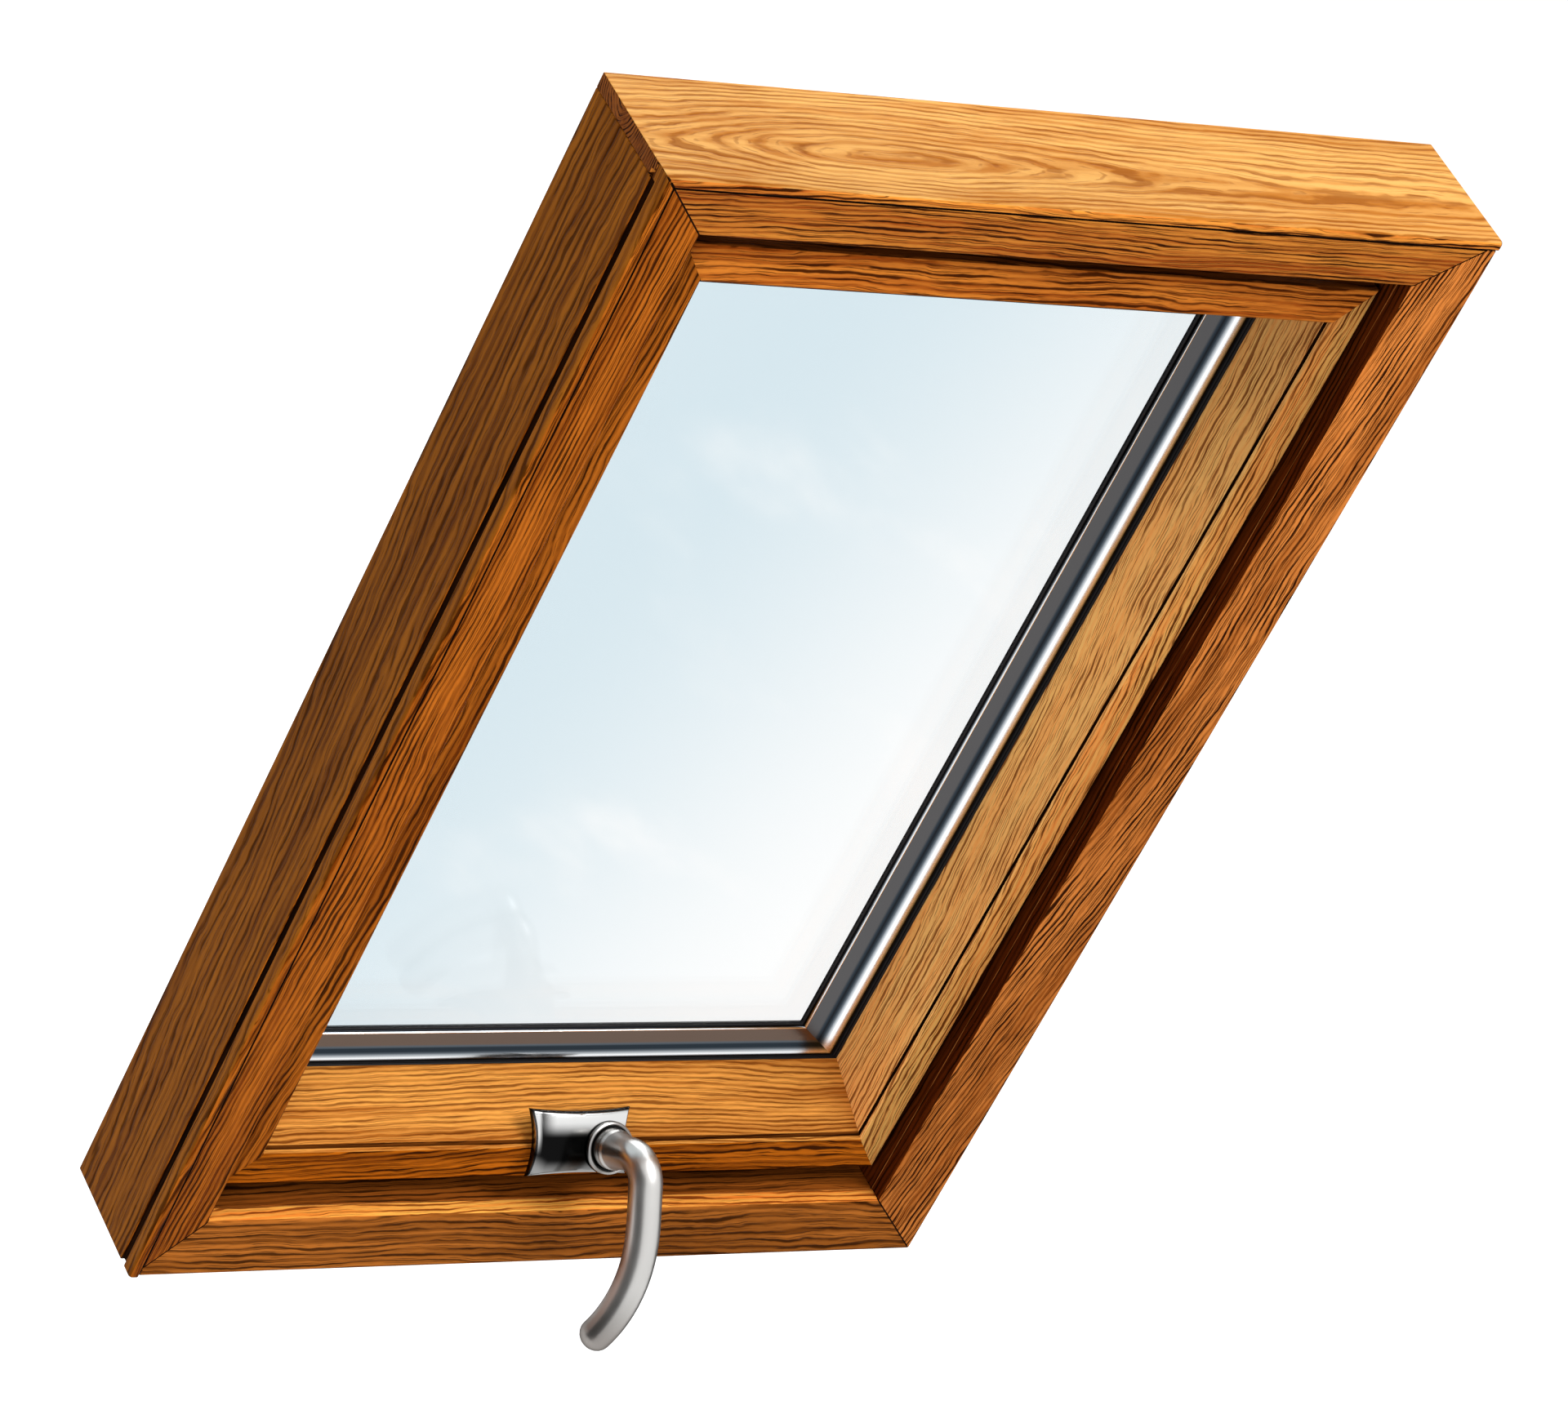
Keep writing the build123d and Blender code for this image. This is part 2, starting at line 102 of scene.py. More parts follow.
class Bar(Enum):
    """The four sides of a mitred surround, as (across sign, up sign)."""

    LEFT = (-1, 0)
    RIGHT = (1, 0)
    BOTTOM = (0, -1)
    TOP = (0, 1)


# Node helpers

GRAIN_GROUP = "oak_grain"
WEAR_GROUP = "surface_wear"


class NodeBoard:
    """Adds and links nodes in one node tree."""

    def __init__(self, tree: NodeTree) -> None:
        """Keeps the tree of a material, world or group."""
        self.tree = tree

    def add(self, kind: str, inputs: dict | None = None, **settings: object) -> Node:
        """Adds a node.

        Args:
            kind: Blender's node type.
            inputs: Values or sockets by input name or number.
            settings: Attributes of the node.

        Returns:
            The new node.
        """
        node = self.tree.nodes.new(kind)
        for name, value in settings.items():
            setattr(node, name, value)
        self.fill(node, inputs or {})
        return node

    def fill(self, node: Node, inputs: dict) -> None:
        """Links a node's inputs, or writes values on them.

        Args:
            node: The node.
            inputs: Values or sockets by input name or number.
        """
        for key, value in inputs.items():
            if isinstance(value, NodeSocket):
                self.tree.links.new(value, node.inputs[key])
            else:
                node.inputs[key].default_value = value

    def math(self, operation: str, first: object, second: object = 0.0,
             third: object = 0.0) -> NodeSocket:
        """Adds a Math node and gives its output."""
        return self.add("ShaderNodeMath", {0: first, 1: second, 2: third}, operation=operation).outputs[0]

    def vector_math(self, operation: str, first: object, second: object) -> NodeSocket:
        """Adds a Vector Math node and gives its vector."""
        return self.add("ShaderNodeVectorMath", {0: first, 1: second}, operation=operation).outputs[0]

    def noise(self, vector: object, scale: Place, detail: float = 2.0,
              roughness: float = 0.5, colour: bool = False) -> NodeSocket:
        """Adds a noise that is stretched by axis.

        Args:
            vector: Socket with the place.
            scale: Noise cells per metre on each axis.
            detail: Octaves of the noise.
            roughness: Share of each finer octave.
            colour: Whether to give three noises as a colour.

        Returns:
            The noise's value or colour.
        """
        place = self.vector_math("MULTIPLY", vector, scale)
        node = self.add("ShaderNodeTexNoise",
                        {"Vector": place, "Scale": 1.0, "Detail": detail, "Roughness": roughness})
        return node.outputs["Color" if colour else 0]

    def wander(self, vector: object, scale: Place, detail: float, reach: float) -> NodeSocket:
        """Gives an offset across the fibres that wanders with the place.

        Args:
            vector: Socket with the place.
            scale: Noise cells per metre on each axis.
            detail: Octaves of the noise.
            reach: Full range of the offset in metres.

        Returns:
            The offset.
        """
        noise = self.noise(vector, scale, detail, colour=True)
        centred = self.vector_math("SUBTRACT", noise, (0.5, 0.5, 0.5))
        return self.vector_math("MULTIPLY", centred, (0, reach, reach))

    def ramp(self, value: object, low: float, high: float) -> NodeSocket:
        """Maps low..high to 0..1 with smooth ends."""
        return self.add("ShaderNodeMapRange", {"Value": value, "From Min": low, "From Max": high},
                        interpolation_type="SMOOTHSTEP").outputs[0]

    def mix(self, factor: object, first: object, second: object,
            blend: str = "MIX") -> NodeSocket:
        """Mixes two colours."""
        return self.add("ShaderNodeMix", {0: factor, 6: first, 7: second},
                        data_type="RGBA", blend_type=blend).outputs[2]

    def shade(self, colour: object, value: NodeSocket) -> NodeSocket:
        """Darkens or lightens a colour by a value around 1."""
        grey = self.add("ShaderNodeCombineColor", {0: value, 1: value, 2: value}).outputs[0]
        return self.mix(1.0, colour, grey, "MULTIPLY")

    def axes(self, vector: object) -> Iterable[NodeSocket]:
        """Splits a vector into its X, Y and Z."""
        return self.add("ShaderNodeSeparateXYZ", {0: vector}).outputs


def rgba(colour: Colour) -> tuple[float, float, float, float]:
    """Adds a full alpha to a linear colour."""
    return (*colour, 1.0)


def srgb(*channels: float) -> Colour:
    """Turns a screen colour of 0 to 255 into the linear values that nodes take."""
    return tuple(share / 12.92 if share <= 0.04045 else ((share + 0.055) / 1.055) ** 2.4
                 for share in (value / 255 for value in channels))


def new_group(name: str, inputs: dict[str, str], outputs: dict[str, str]
              ) -> tuple[NodeBoard, dict[str, NodeSocket], Node]:
    """Starts a shader node group.

    Args:
        name: Name of the group.
        inputs: Input names with their kinds, Vector, Color or Float.
        outputs: Output names with their kinds.

    Returns:
        The group's board, its given sockets by name, and its output node.
    """
    tree = bpy.data.node_groups.new(name, "ShaderNodeTree")
    for direction, sockets in (("INPUT", inputs), ("OUTPUT", outputs)):
        for label, kind in sockets.items():
            tree.interface.new_socket(label, in_out=direction, socket_type=f"NodeSocket{kind}")
    board = NodeBoard(tree)
    given = dict(board.add("NodeGroupInput").outputs.items())
    return board, given, board.add("NodeGroupOutput")


def build_oak_grain() -> None:
    """Builds the grain group that every timber member uses, with X along the fibres."""
    board, given, result = new_group(
        GRAIN_GROUP,
        {"Place": "Vector", "Light Wood": "Color", "Warm Wood": "Color", "Dark Wood": "Color",
         "Lines per Metre": "Float", "Line Strength": "Float", "Streak Strength": "Float"},
        {"Colour": "Color", "Roughness": "Float", "Height": "Float"})
    place = given["Place"]
    drift = board.wander(place, (2.4, 8, 8), 2.0, 0.034)
    ripple = board.wander(place, (30, 72, 72), 1.0, 0.0036)
    quiver = board.wander(place, (95, 270, 270), 1.0, 0.0010)
    bent = board.vector_math("ADD", board.vector_math("ADD", place, drift),
                             board.vector_math("ADD", ripple, quiver))
    ring = board.vector_math("MULTIPLY", bent, (0, 1, 1))
    distance = board.add("ShaderNodeVectorMath", {0: ring}, operation="LENGTH").outputs["Value"]

    phase = board.math("MULTIPLY", distance, given["Lines per Metre"])
    wave = board.math("SINE", board.math("MULTIPLY", phase, 2 * pi))
    taper = board.math("SUBTRACT", board.noise(place, (12, 120, 120), 2.0), 0.53)
    lines = board.ramp(board.math("MULTIPLY_ADD", taper, 3.2, wave), 0.46, 1.10)
    fine_wave = board.math("SINE", board.math("MULTIPLY", phase, 5.1 * pi))
    fine = board.math("MULTIPLY", board.ramp(fine_wave, 0.45, 1.0),
                      board.ramp(board.noise(place, (27, 210, 210), 1.0), 0.42, 0.58))
    pores = board.ramp(board.noise(place, (80, 1300, 1300), 1.0), 0.58, 0.72)
    ridge = board.ramp(wave, 0.75, -0.85)
    streaks = board.ramp(board.noise(place, (3.2, 75, 75), 3.0, 0.6), 0.36, 0.64)
    streaks = board.math("ADD", board.math("MULTIPLY", streaks, 0.55),
                         board.math("MULTIPLY", ridge, 0.45))
    clouds = board.noise(place, (1.7, 9, 9), 2.0)

    wood = board.mix(streaks, given["Warm Wood"], given["Light Wood"])
    wood = board.mix(given["Streak Strength"], given["Warm Wood"], wood)
    wood = board.shade(wood, board.math("MULTIPLY_ADD", clouds, 0.62, 0.69))
    for mark, share in ((fine, 0.8), (lines, 1.0), (pores, 0.30)):
        strength = board.math("MULTIPLY", given["Line Strength"], share)
        wood = board.mix(board.math("MULTIPLY", mark, strength), wood, given["Dark Wood"])

    groove = board.math("ADD", lines, board.math("MULTIPLY", fine, 0.4))
    groove = board.math("ADD", groove, board.math("MULTIPLY", pores, 0.2))
    board.fill(result, {"Colour": wood, "Roughness": board.math("MULTIPLY_ADD", groove, 0.16, 0.40),
                        "Height": board.math("SUBTRACT", 1.0, groove)})


def build_surface_wear() -> None:
    """Builds the group with the fine mottle and grit that metals, covers and rubber use."""
    board, given, result = new_group(
        WEAR_GROUP,
        {"Place": "Vector", "Grit": "Float", "Mottle": "Float"},
        {"Tone": "Float", "Roughness Offset": "Float", "Height": "Float"})
    place = given["Place"]
    grit = board.add("ShaderNodeTexNoise", {"Vector": place, "Scale": given["Grit"],
                                            "Detail": 2.0}).outputs[0]
    mottle = board.math("SUBTRACT", board.noise(place, (38, 38, 38), 3.0), 0.5)
    board.fill(result, {"Tone": board.math("MULTIPLY_ADD", mottle, given["Mottle"], 1.0),
                        "Roughness Offset": board.math("MULTIPLY", mottle, 0.22), "Height": grit})


# Finishes

EYE_SPREAD = 0.020
EYE_SAG = 0.026
# Heights over which the painted shadow towards a member's top deepens.
PAINTED_SHADOW_FROM = 0.50
PAINTED_SHADOW_TO = 0.92


def fresh_material(name: str) -> tuple[Material, NodeBoard, Node]:
    """Starts a material.

    Args:
        name: Name of the finish.

    Returns:
        The material, its board and its shader.
    """
    material = bpy.data.materials.new(name)
    material.use_nodes = True
    return material, NodeBoard(material.node_tree), material.node_tree.nodes["Principled BSDF"]


@dataclass(frozen=True)
class OakFinish:
    """Oiled oak of one timber member, in the screen colours of its light, warm and dark wood.

    The grain's lines circle the heart, which runs along the fibres, and close round the eye's X.
    """

    name: str
    axis: GrainAxis
    shades: tuple[Colour, Colour, Colour]
    seed: float
    heart: Place
    slant: float = 0.0
    lines: float = 230.0
    strength: float = 0.8
    streak: float = 0.9
    relief: float = 0.55
    # Painted shadow: how much darker the oak grows towards its top.
    painted_top_shadow: float = 0.0
    eye: float | None = None

    @cache
    def material(self) -> Material:
        """Builds the member's material, once.

        Returns:
            The material.
        """
        material, board, shader = fresh_material(self.name)
        place = board.add("ShaderNodeTexCoord").outputs["Object"]
        turn = Euler((0, radians(self.axis.value + self.slant), 0))
        heart = turn.to_matrix() @ Vector(self.heart)
        turned = board.add("ShaderNodeMapping", {
            "Vector": place if self.eye is None else self.sagged(board, place),
            "Rotation": tuple(turn), "Location": (self.seed - heart.x, -heart.y, -heart.z)})
        light, warm, dark = (rgba(srgb(*shade)) for shade in self.shades)
        oak = board.add("ShaderNodeGroup", {
            "Place": turned.outputs[0], "Light Wood": light, "Warm Wood": warm, "Dark Wood": dark,
            "Lines per Metre": self.lines, "Line Strength": self.strength,
            "Streak Strength": self.streak}, node_tree=bpy.data.node_groups[GRAIN_GROUP]).outputs
        bump = board.add("ShaderNodeBump", {"Height": oak["Height"], "Strength": self.relief,
                                            "Distance": 0.0007})
        colour = oak["Colour"]
        # Painted shadow: the colour darkens towards the top, where the top rail would shade the member.
        if self.painted_top_shadow:
            rise = board.ramp(board.axes(place)[2], PAINTED_SHADOW_FROM, PAINTED_SHADOW_TO)
            colour = board.shade(colour, board.math("MULTIPLY_ADD", rise, -self.painted_top_shadow, 1.0))
        board.fill(shader, {
            "Base Color": colour, "Roughness": oak["Roughness"], "Normal": bump.outputs[0],
            "Specular IOR Level": 0.02, "Specular Tint": rgba((1.0, 0.66, 0.34))})
        return material

    def sagged(self, board: NodeBoard, place: NodeSocket) -> NodeSocket:
        """Raises the place away from the eye, so that the lines sag there and close round it.

        Args:
            board: The material's board.
            place: Socket with the place.

        Returns:
            The raised place.
        """
        along = board.math("SUBTRACT", board.axes(place)[0], self.eye)
        square = board.math("MULTIPLY", along, along)
        share = board.math("DIVIDE", square, board.math("ADD", square, EYE_SPREAD))
        sag = board.math("MULTIPLY", share, EYE_SAG)
        return board.vector_math("ADD", place, board.add("ShaderNodeCombineXYZ", {2: sag}).outputs[0])


@dataclass(frozen=True)
class HardFinish:
    """Metal, powder coat or rubber with a fine surface."""

    name: str
    colour: Colour
    roughness: float
    metallic: float = 1.0
    grit: float = 900.0
    mottle: float = 0.12
    relief: float = 0.08
    specular: float = 0.5
    edge: float = 1.0
    toned: bool = False

    @cache
    def material(self) -> Material:
        """Builds the material, once.

        Returns:
            The material.
        """
        material, board, shader = fresh_material(self.name)
        wear = board.add("ShaderNodeGroup", {
            "Place": board.add("ShaderNodeTexCoord").outputs["Object"], "Grit": self.grit,
            "Mottle": self.mottle}, node_tree=bpy.data.node_groups[WEAR_GROUP]).outputs
        colour = rgba(self.colour)
        # Toned pieces take their colour from the tone attribute: painted highlights and reflections on
        # the bead and plate, a painted highlight and shade on the collar, and a darker tip on the lever.
        if self.toned:
            colour = board.add("ShaderNodeAttribute", attribute_name="tone").outputs["Color"]
        rough = board.math("ADD", wear["Roughness Offset"], self.roughness)
        bump = board.add("ShaderNodeBump", {"Height": wear["Height"], "Strength": self.relief,
                                            "Distance": 0.0003})
        board.fill(shader, {
            "Base Color": board.shade(colour, wear["Tone"]), "Metallic": self.metallic,
            "Roughness": board.math("MAXIMUM", rough, 0.04), "Normal": bump.outputs[0],
            "Specular IOR Level": self.specular, "Specular Tint": rgba((self.edge,) * 3)})
        return material


@dataclass(frozen=True)
class GlassFinish:
    """Float glass, with a painted sky reflection, a faint blue tint with cloud streaks, on one pane of
    the unit.
    """

    name: str
    deep: Colour
    pale: Colour

    def material(self) -> Material:
        """Builds the glass, whose painted sky reflection drifts softly from the upper left to the lower
        right.

        Returns:
            The material.
        """
        material, board, shader = fresh_material(self.name)
        place = board.add("ShaderNodeTexCoord").outputs["Object"]
        across, _, upward = board.axes(place)
        # Painted sky reflection: a tint that fades across the pane, with streaks of cloud.
        slope = board.math("SUBTRACT", board.math("MULTIPLY", across, 1.8),
                           board.math("MULTIPLY", board.math("SUBTRACT", upward, 0.5), 0.68))
        turned = board.add("ShaderNodeMapping", {"Vector": place, "Rotation": (0, radians(-34), 0)})
        painted_cloud_wisps = board.noise(turned.outputs[0], (3.1, 0, 8.2), 4.0, 0.5)
        level = board.math("ADD", board.math("ADD", slope, 0.38),
                           board.math("MULTIPLY", board.ramp(painted_cloud_wisps, 0.52, 0.82), 0.45))
        tint = board.mix(board.ramp(level, 0.0, 1.0), rgba(self.deep), rgba(self.pale))
        board.fill(shader, {"Base Color": tint, "Roughness": 0.0, "IOR": 1.2,
                            "Transmission Weight": 1.0})
        return material


OAK_TOP = OakFinish(
    "oak_top_rail", ACROSS, ((243, 182, 101), (195, 120, 43), (131, 62, 9)),
    3.1, (0, -0.014, 0.970), 0.3, 225, 0.50, 1.0, 0.4, eye=-0.16)
# Painted shade: the frame's left stile is a darker oak, standing in for the shade on that side.
OAK_LEFT_SHADED = OakFinish(
    "oak_left_stile_painted_shade", UPWARD, ((168, 99, 28), (105, 54, 10), (49, 22, 3)),
    1.7, (0.1, 0.32, 0.5), -1.5, 225, 0.62, 1.0, 0.5)
OAK_RIGHT = OakFinish(
    "oak_right_stile", UPWARD, ((198, 125, 63), (140, 80, 33), (64, 32, 10)),
    5.3, (-0.1, 0.36, 0.5), 2, 230, 0.68, 0.9, 0.5)
OAK_BOTTOM = OakFinish(
    "oak_bottom_rail", ACROSS, ((198, 125, 59), (146, 84, 31), (64, 32, 10)),
    7.9, (0, 0.36, 0.4), 0.6, 230, 0.68, 0.9, 0.5)
# Painted light: the top of the bottom facing is a brighter, warmer oak than its front, standing in for
# the light from above.
OAK_LEDGE_LIT = OakFinish(
    "oak_bottom_ledge_painted_light", ACROSS, ((255, 182, 80), (250, 134, 46), (118, 50, 12)),
    4.9, (0, 0.36, 0.4), 0.6, 240, 0.85, 1.0, 0.5)
OAK_FACE_LEFT = OakFinish(
    "oak_left_facing", UPWARD, ((213, 117, 33), (127, 57, 6), (35, 13, 3)),
    2.3, (0.12, 0.34, 0.5), -3, 235, 0.82, 1.0, 0.7)
OAK_FACE_RIGHT = OakFinish(
    "oak_right_facing", UPWARD, ((246, 148, 68), (172, 90, 30), (56, 22, 4)),
    4.4, (-0.1, 0.36, 0.5), -7, 290, 1.0, 1.0, 1.0)
OAK_FACE_TOP = OakFinish(
    "oak_top_facing", ACROSS, ((253, 159, 63), (182, 85, 25), (61, 25, 4)),
    6.1, (0, 0.3, 0.56), 0.4, 270, 1.0, 1.0, 1.0)
OAK_FACE_BOTTOM = OakFinish(
    "oak_bottom_facing", ACROSS, ((207, 121, 47), (128, 68, 19), (46, 20, 4)),
    8.2, (0, 0.3, -0.38), -1.0, 255, 0.8, 1.0, 0.8)
OAK_SASH_LEFT = OakFinish(
    "oak_sash_left", UPWARD, ((230, 151, 68), (179, 104, 36), (84, 40, 10)),
    9.6, (0.16, 0.4, 0.5), 2, 250, 0.7, 0.95, 0.7)
# Its last value paints a shadow over the upper part of the reveal.
OAK_SASH_RIGHT = OakFinish(
    "oak_sash_right", UPWARD, ((255, 194, 112), (255, 172, 92), (132, 70, 28)),
    0.6, (-0.16, 0.42, 0.5), 4, 260, 0.85, 1.0, 0.8, 0.40)
OAK_SASH_BOTTOM = OakFinish(
    "oak_sash_bottom", ACROSS, ((243, 166, 76), (178, 102, 35), (100, 45, 9)),
    1.2, (0, 0.4, 0.46), 0.5, 270, 0.68, 1.0, 0.6)
OAK_LIP_BOTTOM = OakFinish(
    "oak_sash_bottom_lip", ACROSS, ((221, 118, 22), (128, 59, 5), (49, 17, 2)),
    3.7, (0, 0.4, 0.46), 0.5, 290, 0.95, 1.0, 0.8)
OAK_SASH_TOP = OakFinish(
    "oak_sash_top", ACROSS, ((255, 151, 55), (182, 85, 22), (73, 29, 3)),
    5.9, (0, 0.36, 0.52), 1, 280, 0.95, 0.95, 0.8)
# Painted shade: dark oak on the faces that look into the narrow gaps between frame, facings and sash.
OAK_SHADE = OakFinish(
    "oak_painted_gap_shade", UPWARD, ((96, 40, 7), (61, 21, 3), (17, 5, 1)),
    7.1, (0.2, 0.36, 0.5), 1, 240, 0.8, 0.9, 0.5)
# Its last value paints a shadow over the upper part of the lip.
OAK_LIP_RIGHT = OakFinish(
    "oak_sash_right_lip", UPWARD, ((255, 190, 102), (250, 150, 70), (100, 50, 14)),
    1.9, (-0.16, 0.42, 0.5), 2, 280, 0.95, 1.0, 0.8, 0.30)
# Painted shade: darker oak on the bottom rail's top, under the sash's lip.
OAK_REBATE_SHADE = OakFinish(
    "oak_bottom_rebate_painted_shade", ACROSS, ((158, 84, 26), (112, 56, 14), (44, 19, 4)),
    2.2, (0, 0.36, 0.4), 0.6, 240, 0.85, 1.0, 0.5)
# Painted shade: darker oak in the gap above the sash, and in the groove of the sash's bottom rail.
OAK_GAP_SHADE = OakFinish(
    "oak_top_gap_painted_shade", ACROSS, ((150, 82, 28), (112, 56, 16), (44, 20, 5)),
    5.2, (0, 0.36, 0.52), 0.6, 260, 0.8, 1.0, 0.5)
OAK_END = OakFinish(
    "oak_end_grain", UPWARD, ((160, 92, 40), (120, 61, 22), (45, 19, 5)),
    2.7, (-0.3, 0.02, 0.95), 32, 420, 1.0, 0.9, 0.8)
# Near-black oak: dark joint lines on the mitres, and painted shade in the grooves, the open joints and on
# the left facing's inner edge.
OAK_JOINT_SHADE = OakFinish(
    "oak_joint_lines_painted_groove_shade", UPWARD, ((40, 18, 6), (28, 12, 4), (12, 5, 2)),
    6.3, (0.2, 0.36, 0.5), 0, 240, 0.6, 0.8, 0.3)

# The trim's colour is the painted highlights and reflections held in the beads' tone attribute.
ANODISED_TRIM = HardFinish("anodised_trim_painted_reflections", (0.5, 0.5, 0.5), 0.16, mottle=0.06, relief=0.03, toned=True)
BLACK_RUBBER = HardFinish("black_rubber", (0.006, 0.006, 0.007), 0.5, 0.0, 700, 0.3, 0.15, specular=0.18)
SPACER = HardFinish("spacer_metal", (0.45, 0.46, 0.47), 0.35)
POWDER_COAT = HardFinish("cover_powder_coat", srgb(84, 84, 82), 0.48, 0.0, 1500, 0.14, 0.35)
ZINC = HardFinish("hinge_zinc", (0.52, 0.53, 0.54), 0.34, mottle=0.3, relief=0.1)
DARK_CHROME = HardFinish("plate_dark_chrome", (0.5, 0.5, 0.5), 0.16, mottle=0.04, relief=0.02, toned=True)
CAST_METAL = HardFinish("saddle_cast_metal", (0.10, 0.10, 0.105), 0.4, mottle=0.25, relief=0.2)
SATIN_NICKEL = HardFinish("lever_satin_nickel", (0.7, 0.7, 0.7), 0.34, mottle=0.03, relief=0.0,
                          edge=0.3, toned=True)
COLLAR_STEEL = HardFinish("collar_steel", (0.5, 0.5, 0.5), 0.3, mottle=0.05, relief=0.0,
                          edge=0.4, toned=True)
# The inner pane's painted reflection is almost white; the outer one carries the blue.
CLEAR_GLASS = GlassFinish("clear_glass", (0.985, 0.992, 0.992), (0.995, 0.998, 0.998))
GLASS_PAINTED_SKY = GlassFinish("glass_painted_sky_reflection", (0.675, 0.80, 0.862), (1.0, 1.0, 0.995))


# Mesh helpers

def add_object(name: str, shape: BMesh) -> Object:
    """Makes an object from a finished mesh, which is freed here.

    Args:
        name: Name of the object.
        shape: The mesh.

    Returns:
        The object, linked to the scene.
    """
    mesh = bpy.data.meshes.new(name)
    shape.to_mesh(mesh)
    shape.free()
    made = bpy.data.objects.new(name, mesh)
    bpy.context.scene.collection.objects.link(made)
    return made


def new_piece(name: str, shape: BMesh, materials: Iterable[Material], slot: str,
              body: str = "window", nodes: Iterable[str] = ()) -> Object:
    """Makes a piece from a mesh in the window's own frame.

    Args:
        name: Name of the piece.
        shape: The mesh.
        materials: Materials in the order of the faces' numbers.
        slot: Name of the material slot, which is only logged.
        body: CAD body that the piece moves with.
        nodes: CAD nodes that the piece stands for.

    Returns:
        The object.
    """
    piece = add_object(name, shape)
    mesh = piece.data
    if "custom_normal" in mesh.attributes:
        mesh.attributes.remove(mesh.attributes["custom_normal"])
    for material in materials:
        mesh.materials.append(material)
    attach(piece, body)
    if nodes:
        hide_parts(*nodes)
    LOG.info("%s: %d faces, %s", name, len(mesh.polygons), slot)
    return piece


def sharp_edges(shape: BMesh, angle: float) -> list[BMEdge]:
    """Finds the edges where two faces meet at more than an angle in radians."""
    return [edge for edge in shape.edges
            if len(edge.link_faces) == 2 and edge.calc_face_angle(0) > angle]


def smooth_by_angle(shape: BMesh, angle: float = radians(32)) -> None:
    """Shades the faces smooth and keeps the sharp edges sharp."""
    for face in shape.faces:
        face.smooth = True
    for edge in sharp_edges(shape, angle):
        edge.smooth = False


def eased_copy(node: str, width: float) -> BMesh:
    """Copies a CAD node with its triangles merged and its edges eased.

    Args:
        node: Name of the CAD node.
        width: Width of the eased edge.

    Returns:
        The new mesh.
    """
    shape = bmesh.new()
    shape.from_mesh(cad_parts[node].data)
    bmesh.ops.remove_doubles(shape, verts=shape.verts, dist=2e-6)
    bmesh.ops.dissolve_limit(shape, angle_limit=radians(0.6), verts=shape.verts, edges=shape.edges)
    for face in shape.faces:
        face.material_index = 0
        face.smooth = True
    bmesh.ops.bevel(shape, geom=sharp_edges(shape, radians(28)), offset=width, offset_type="OFFSET",
                    segments=2, profile=0.5, affect="EDGES", material=-1, clamp_overlap=True)
    for edge in shape.edges:
        edge.smooth = True
    return shape


def eased_piece(name: str, shape: BMesh, materials: Iterable[Material], slot: str, node: str) -> None:
    """Makes a piece from an eased copy, whose large faces set the shading next to the eased edges.

    Args:
        name: Name of the piece.
        shape: The eased copy.
        materials: Materials in the order of the faces' numbers.
        slot: Name of the material slot, which is only logged.
        node: CAD node that the piece stands for.
    """
    piece = new_piece(name, shape, materials, slot, nodes=[node])
    modifier = piece.modifiers.new("weighted_normals", "WEIGHTED_NORMAL")
    modifier.weight = 100
    modifier.keep_sharp = True


def paint_node(node: str, material: Material) -> None:
    """Gives a CAD node's slots a finish."""
    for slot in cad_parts[node].material_slots:
        slot.material = material
    LOG.info("%s keeps its solid, in %s", node, material.name)


def ring_corner(bar: Bar, across: float, depth: float) -> Vector:
    """Places a profile point at the first mitre of one side of the glazing.

    Args:
        bar: Side of the surround.
        across: Distance inward from the end of the reveal, measured on a stile.
        depth: Distance behind the front of the frame.

    Returns:
        The point, at the lower or left mitre.
    """
    in_x = SIZES.reveal_start_x + across
    in_z = SIZES.reveal_start_z + across * SIZES.ratio
    side, end = bar.value
    x = (side or -1) * (SIZES.width / 2 - in_x)
    z = SIZES.height - in_z if end > 0 else in_z
    return Vector((x, SIZES.front + depth, z))


def paint(shape: BMesh, tones: Iterable[Colour]) -> None:
    """Keeps a colour at each vertex, in the mesh's "tone" attribute."""
    tone = shape.verts.layers.float_color.new("tone")
    for vert, colour in zip(shape.verts, tones):
        vert[tone] = rgba(colour)


def blend(dark: Colour, bright: Colour, share: float) -> Colour:
    """Gives the colour at a share of the way from a dark one to a bright one."""
    return tuple(low + (high - low) * share for low, high in zip(dark, bright))


def mitred_bar(bar: Bar, outline: list[Point], tones: Iterable[Colour] = ()) -> BMesh:
    """Makes one mitred length of a profile around the glass.

    Args:
        bar: Side of the surround.
        outline: Closed profile, as (distance inward, depth) points.
        tones: Colour at each point.

    Returns:
        The mesh.
    """
    shape = bmesh.new()
    for across, depth in outline:
        shape.verts.new(ring_corner(bar, across, depth))
    if tones:
        paint(shape, tones)
    end = shape.faces.new(list(shape.verts))
    grown = bmesh.ops.extrude_face_region(shape, geom=[end], use_keep_orig=True)
    far = [item for item in grown["geom"] if isinstance(item, BMVert)]
    mirror = (1, 1, -1) if bar.value[0] else (-1, 1, 1)
    bmesh.ops.scale(shape, vec=mirror, verts=far,
                    space=Matrix.Translation((0, 0, -SIZES.height / 2)))
    bmesh.ops.recalc_face_normals(shape, faces=shape.faces)
    smooth_by_angle(shape)
    return shape


def fade(value: float, low: float, high: float) -> float:
    """Gives a soft step from 0 at one value to 1 at another."""
    share = min(max((value - low) / (high - low), 0.0), 1.0)
    return share * share * (3 - 2 * share)


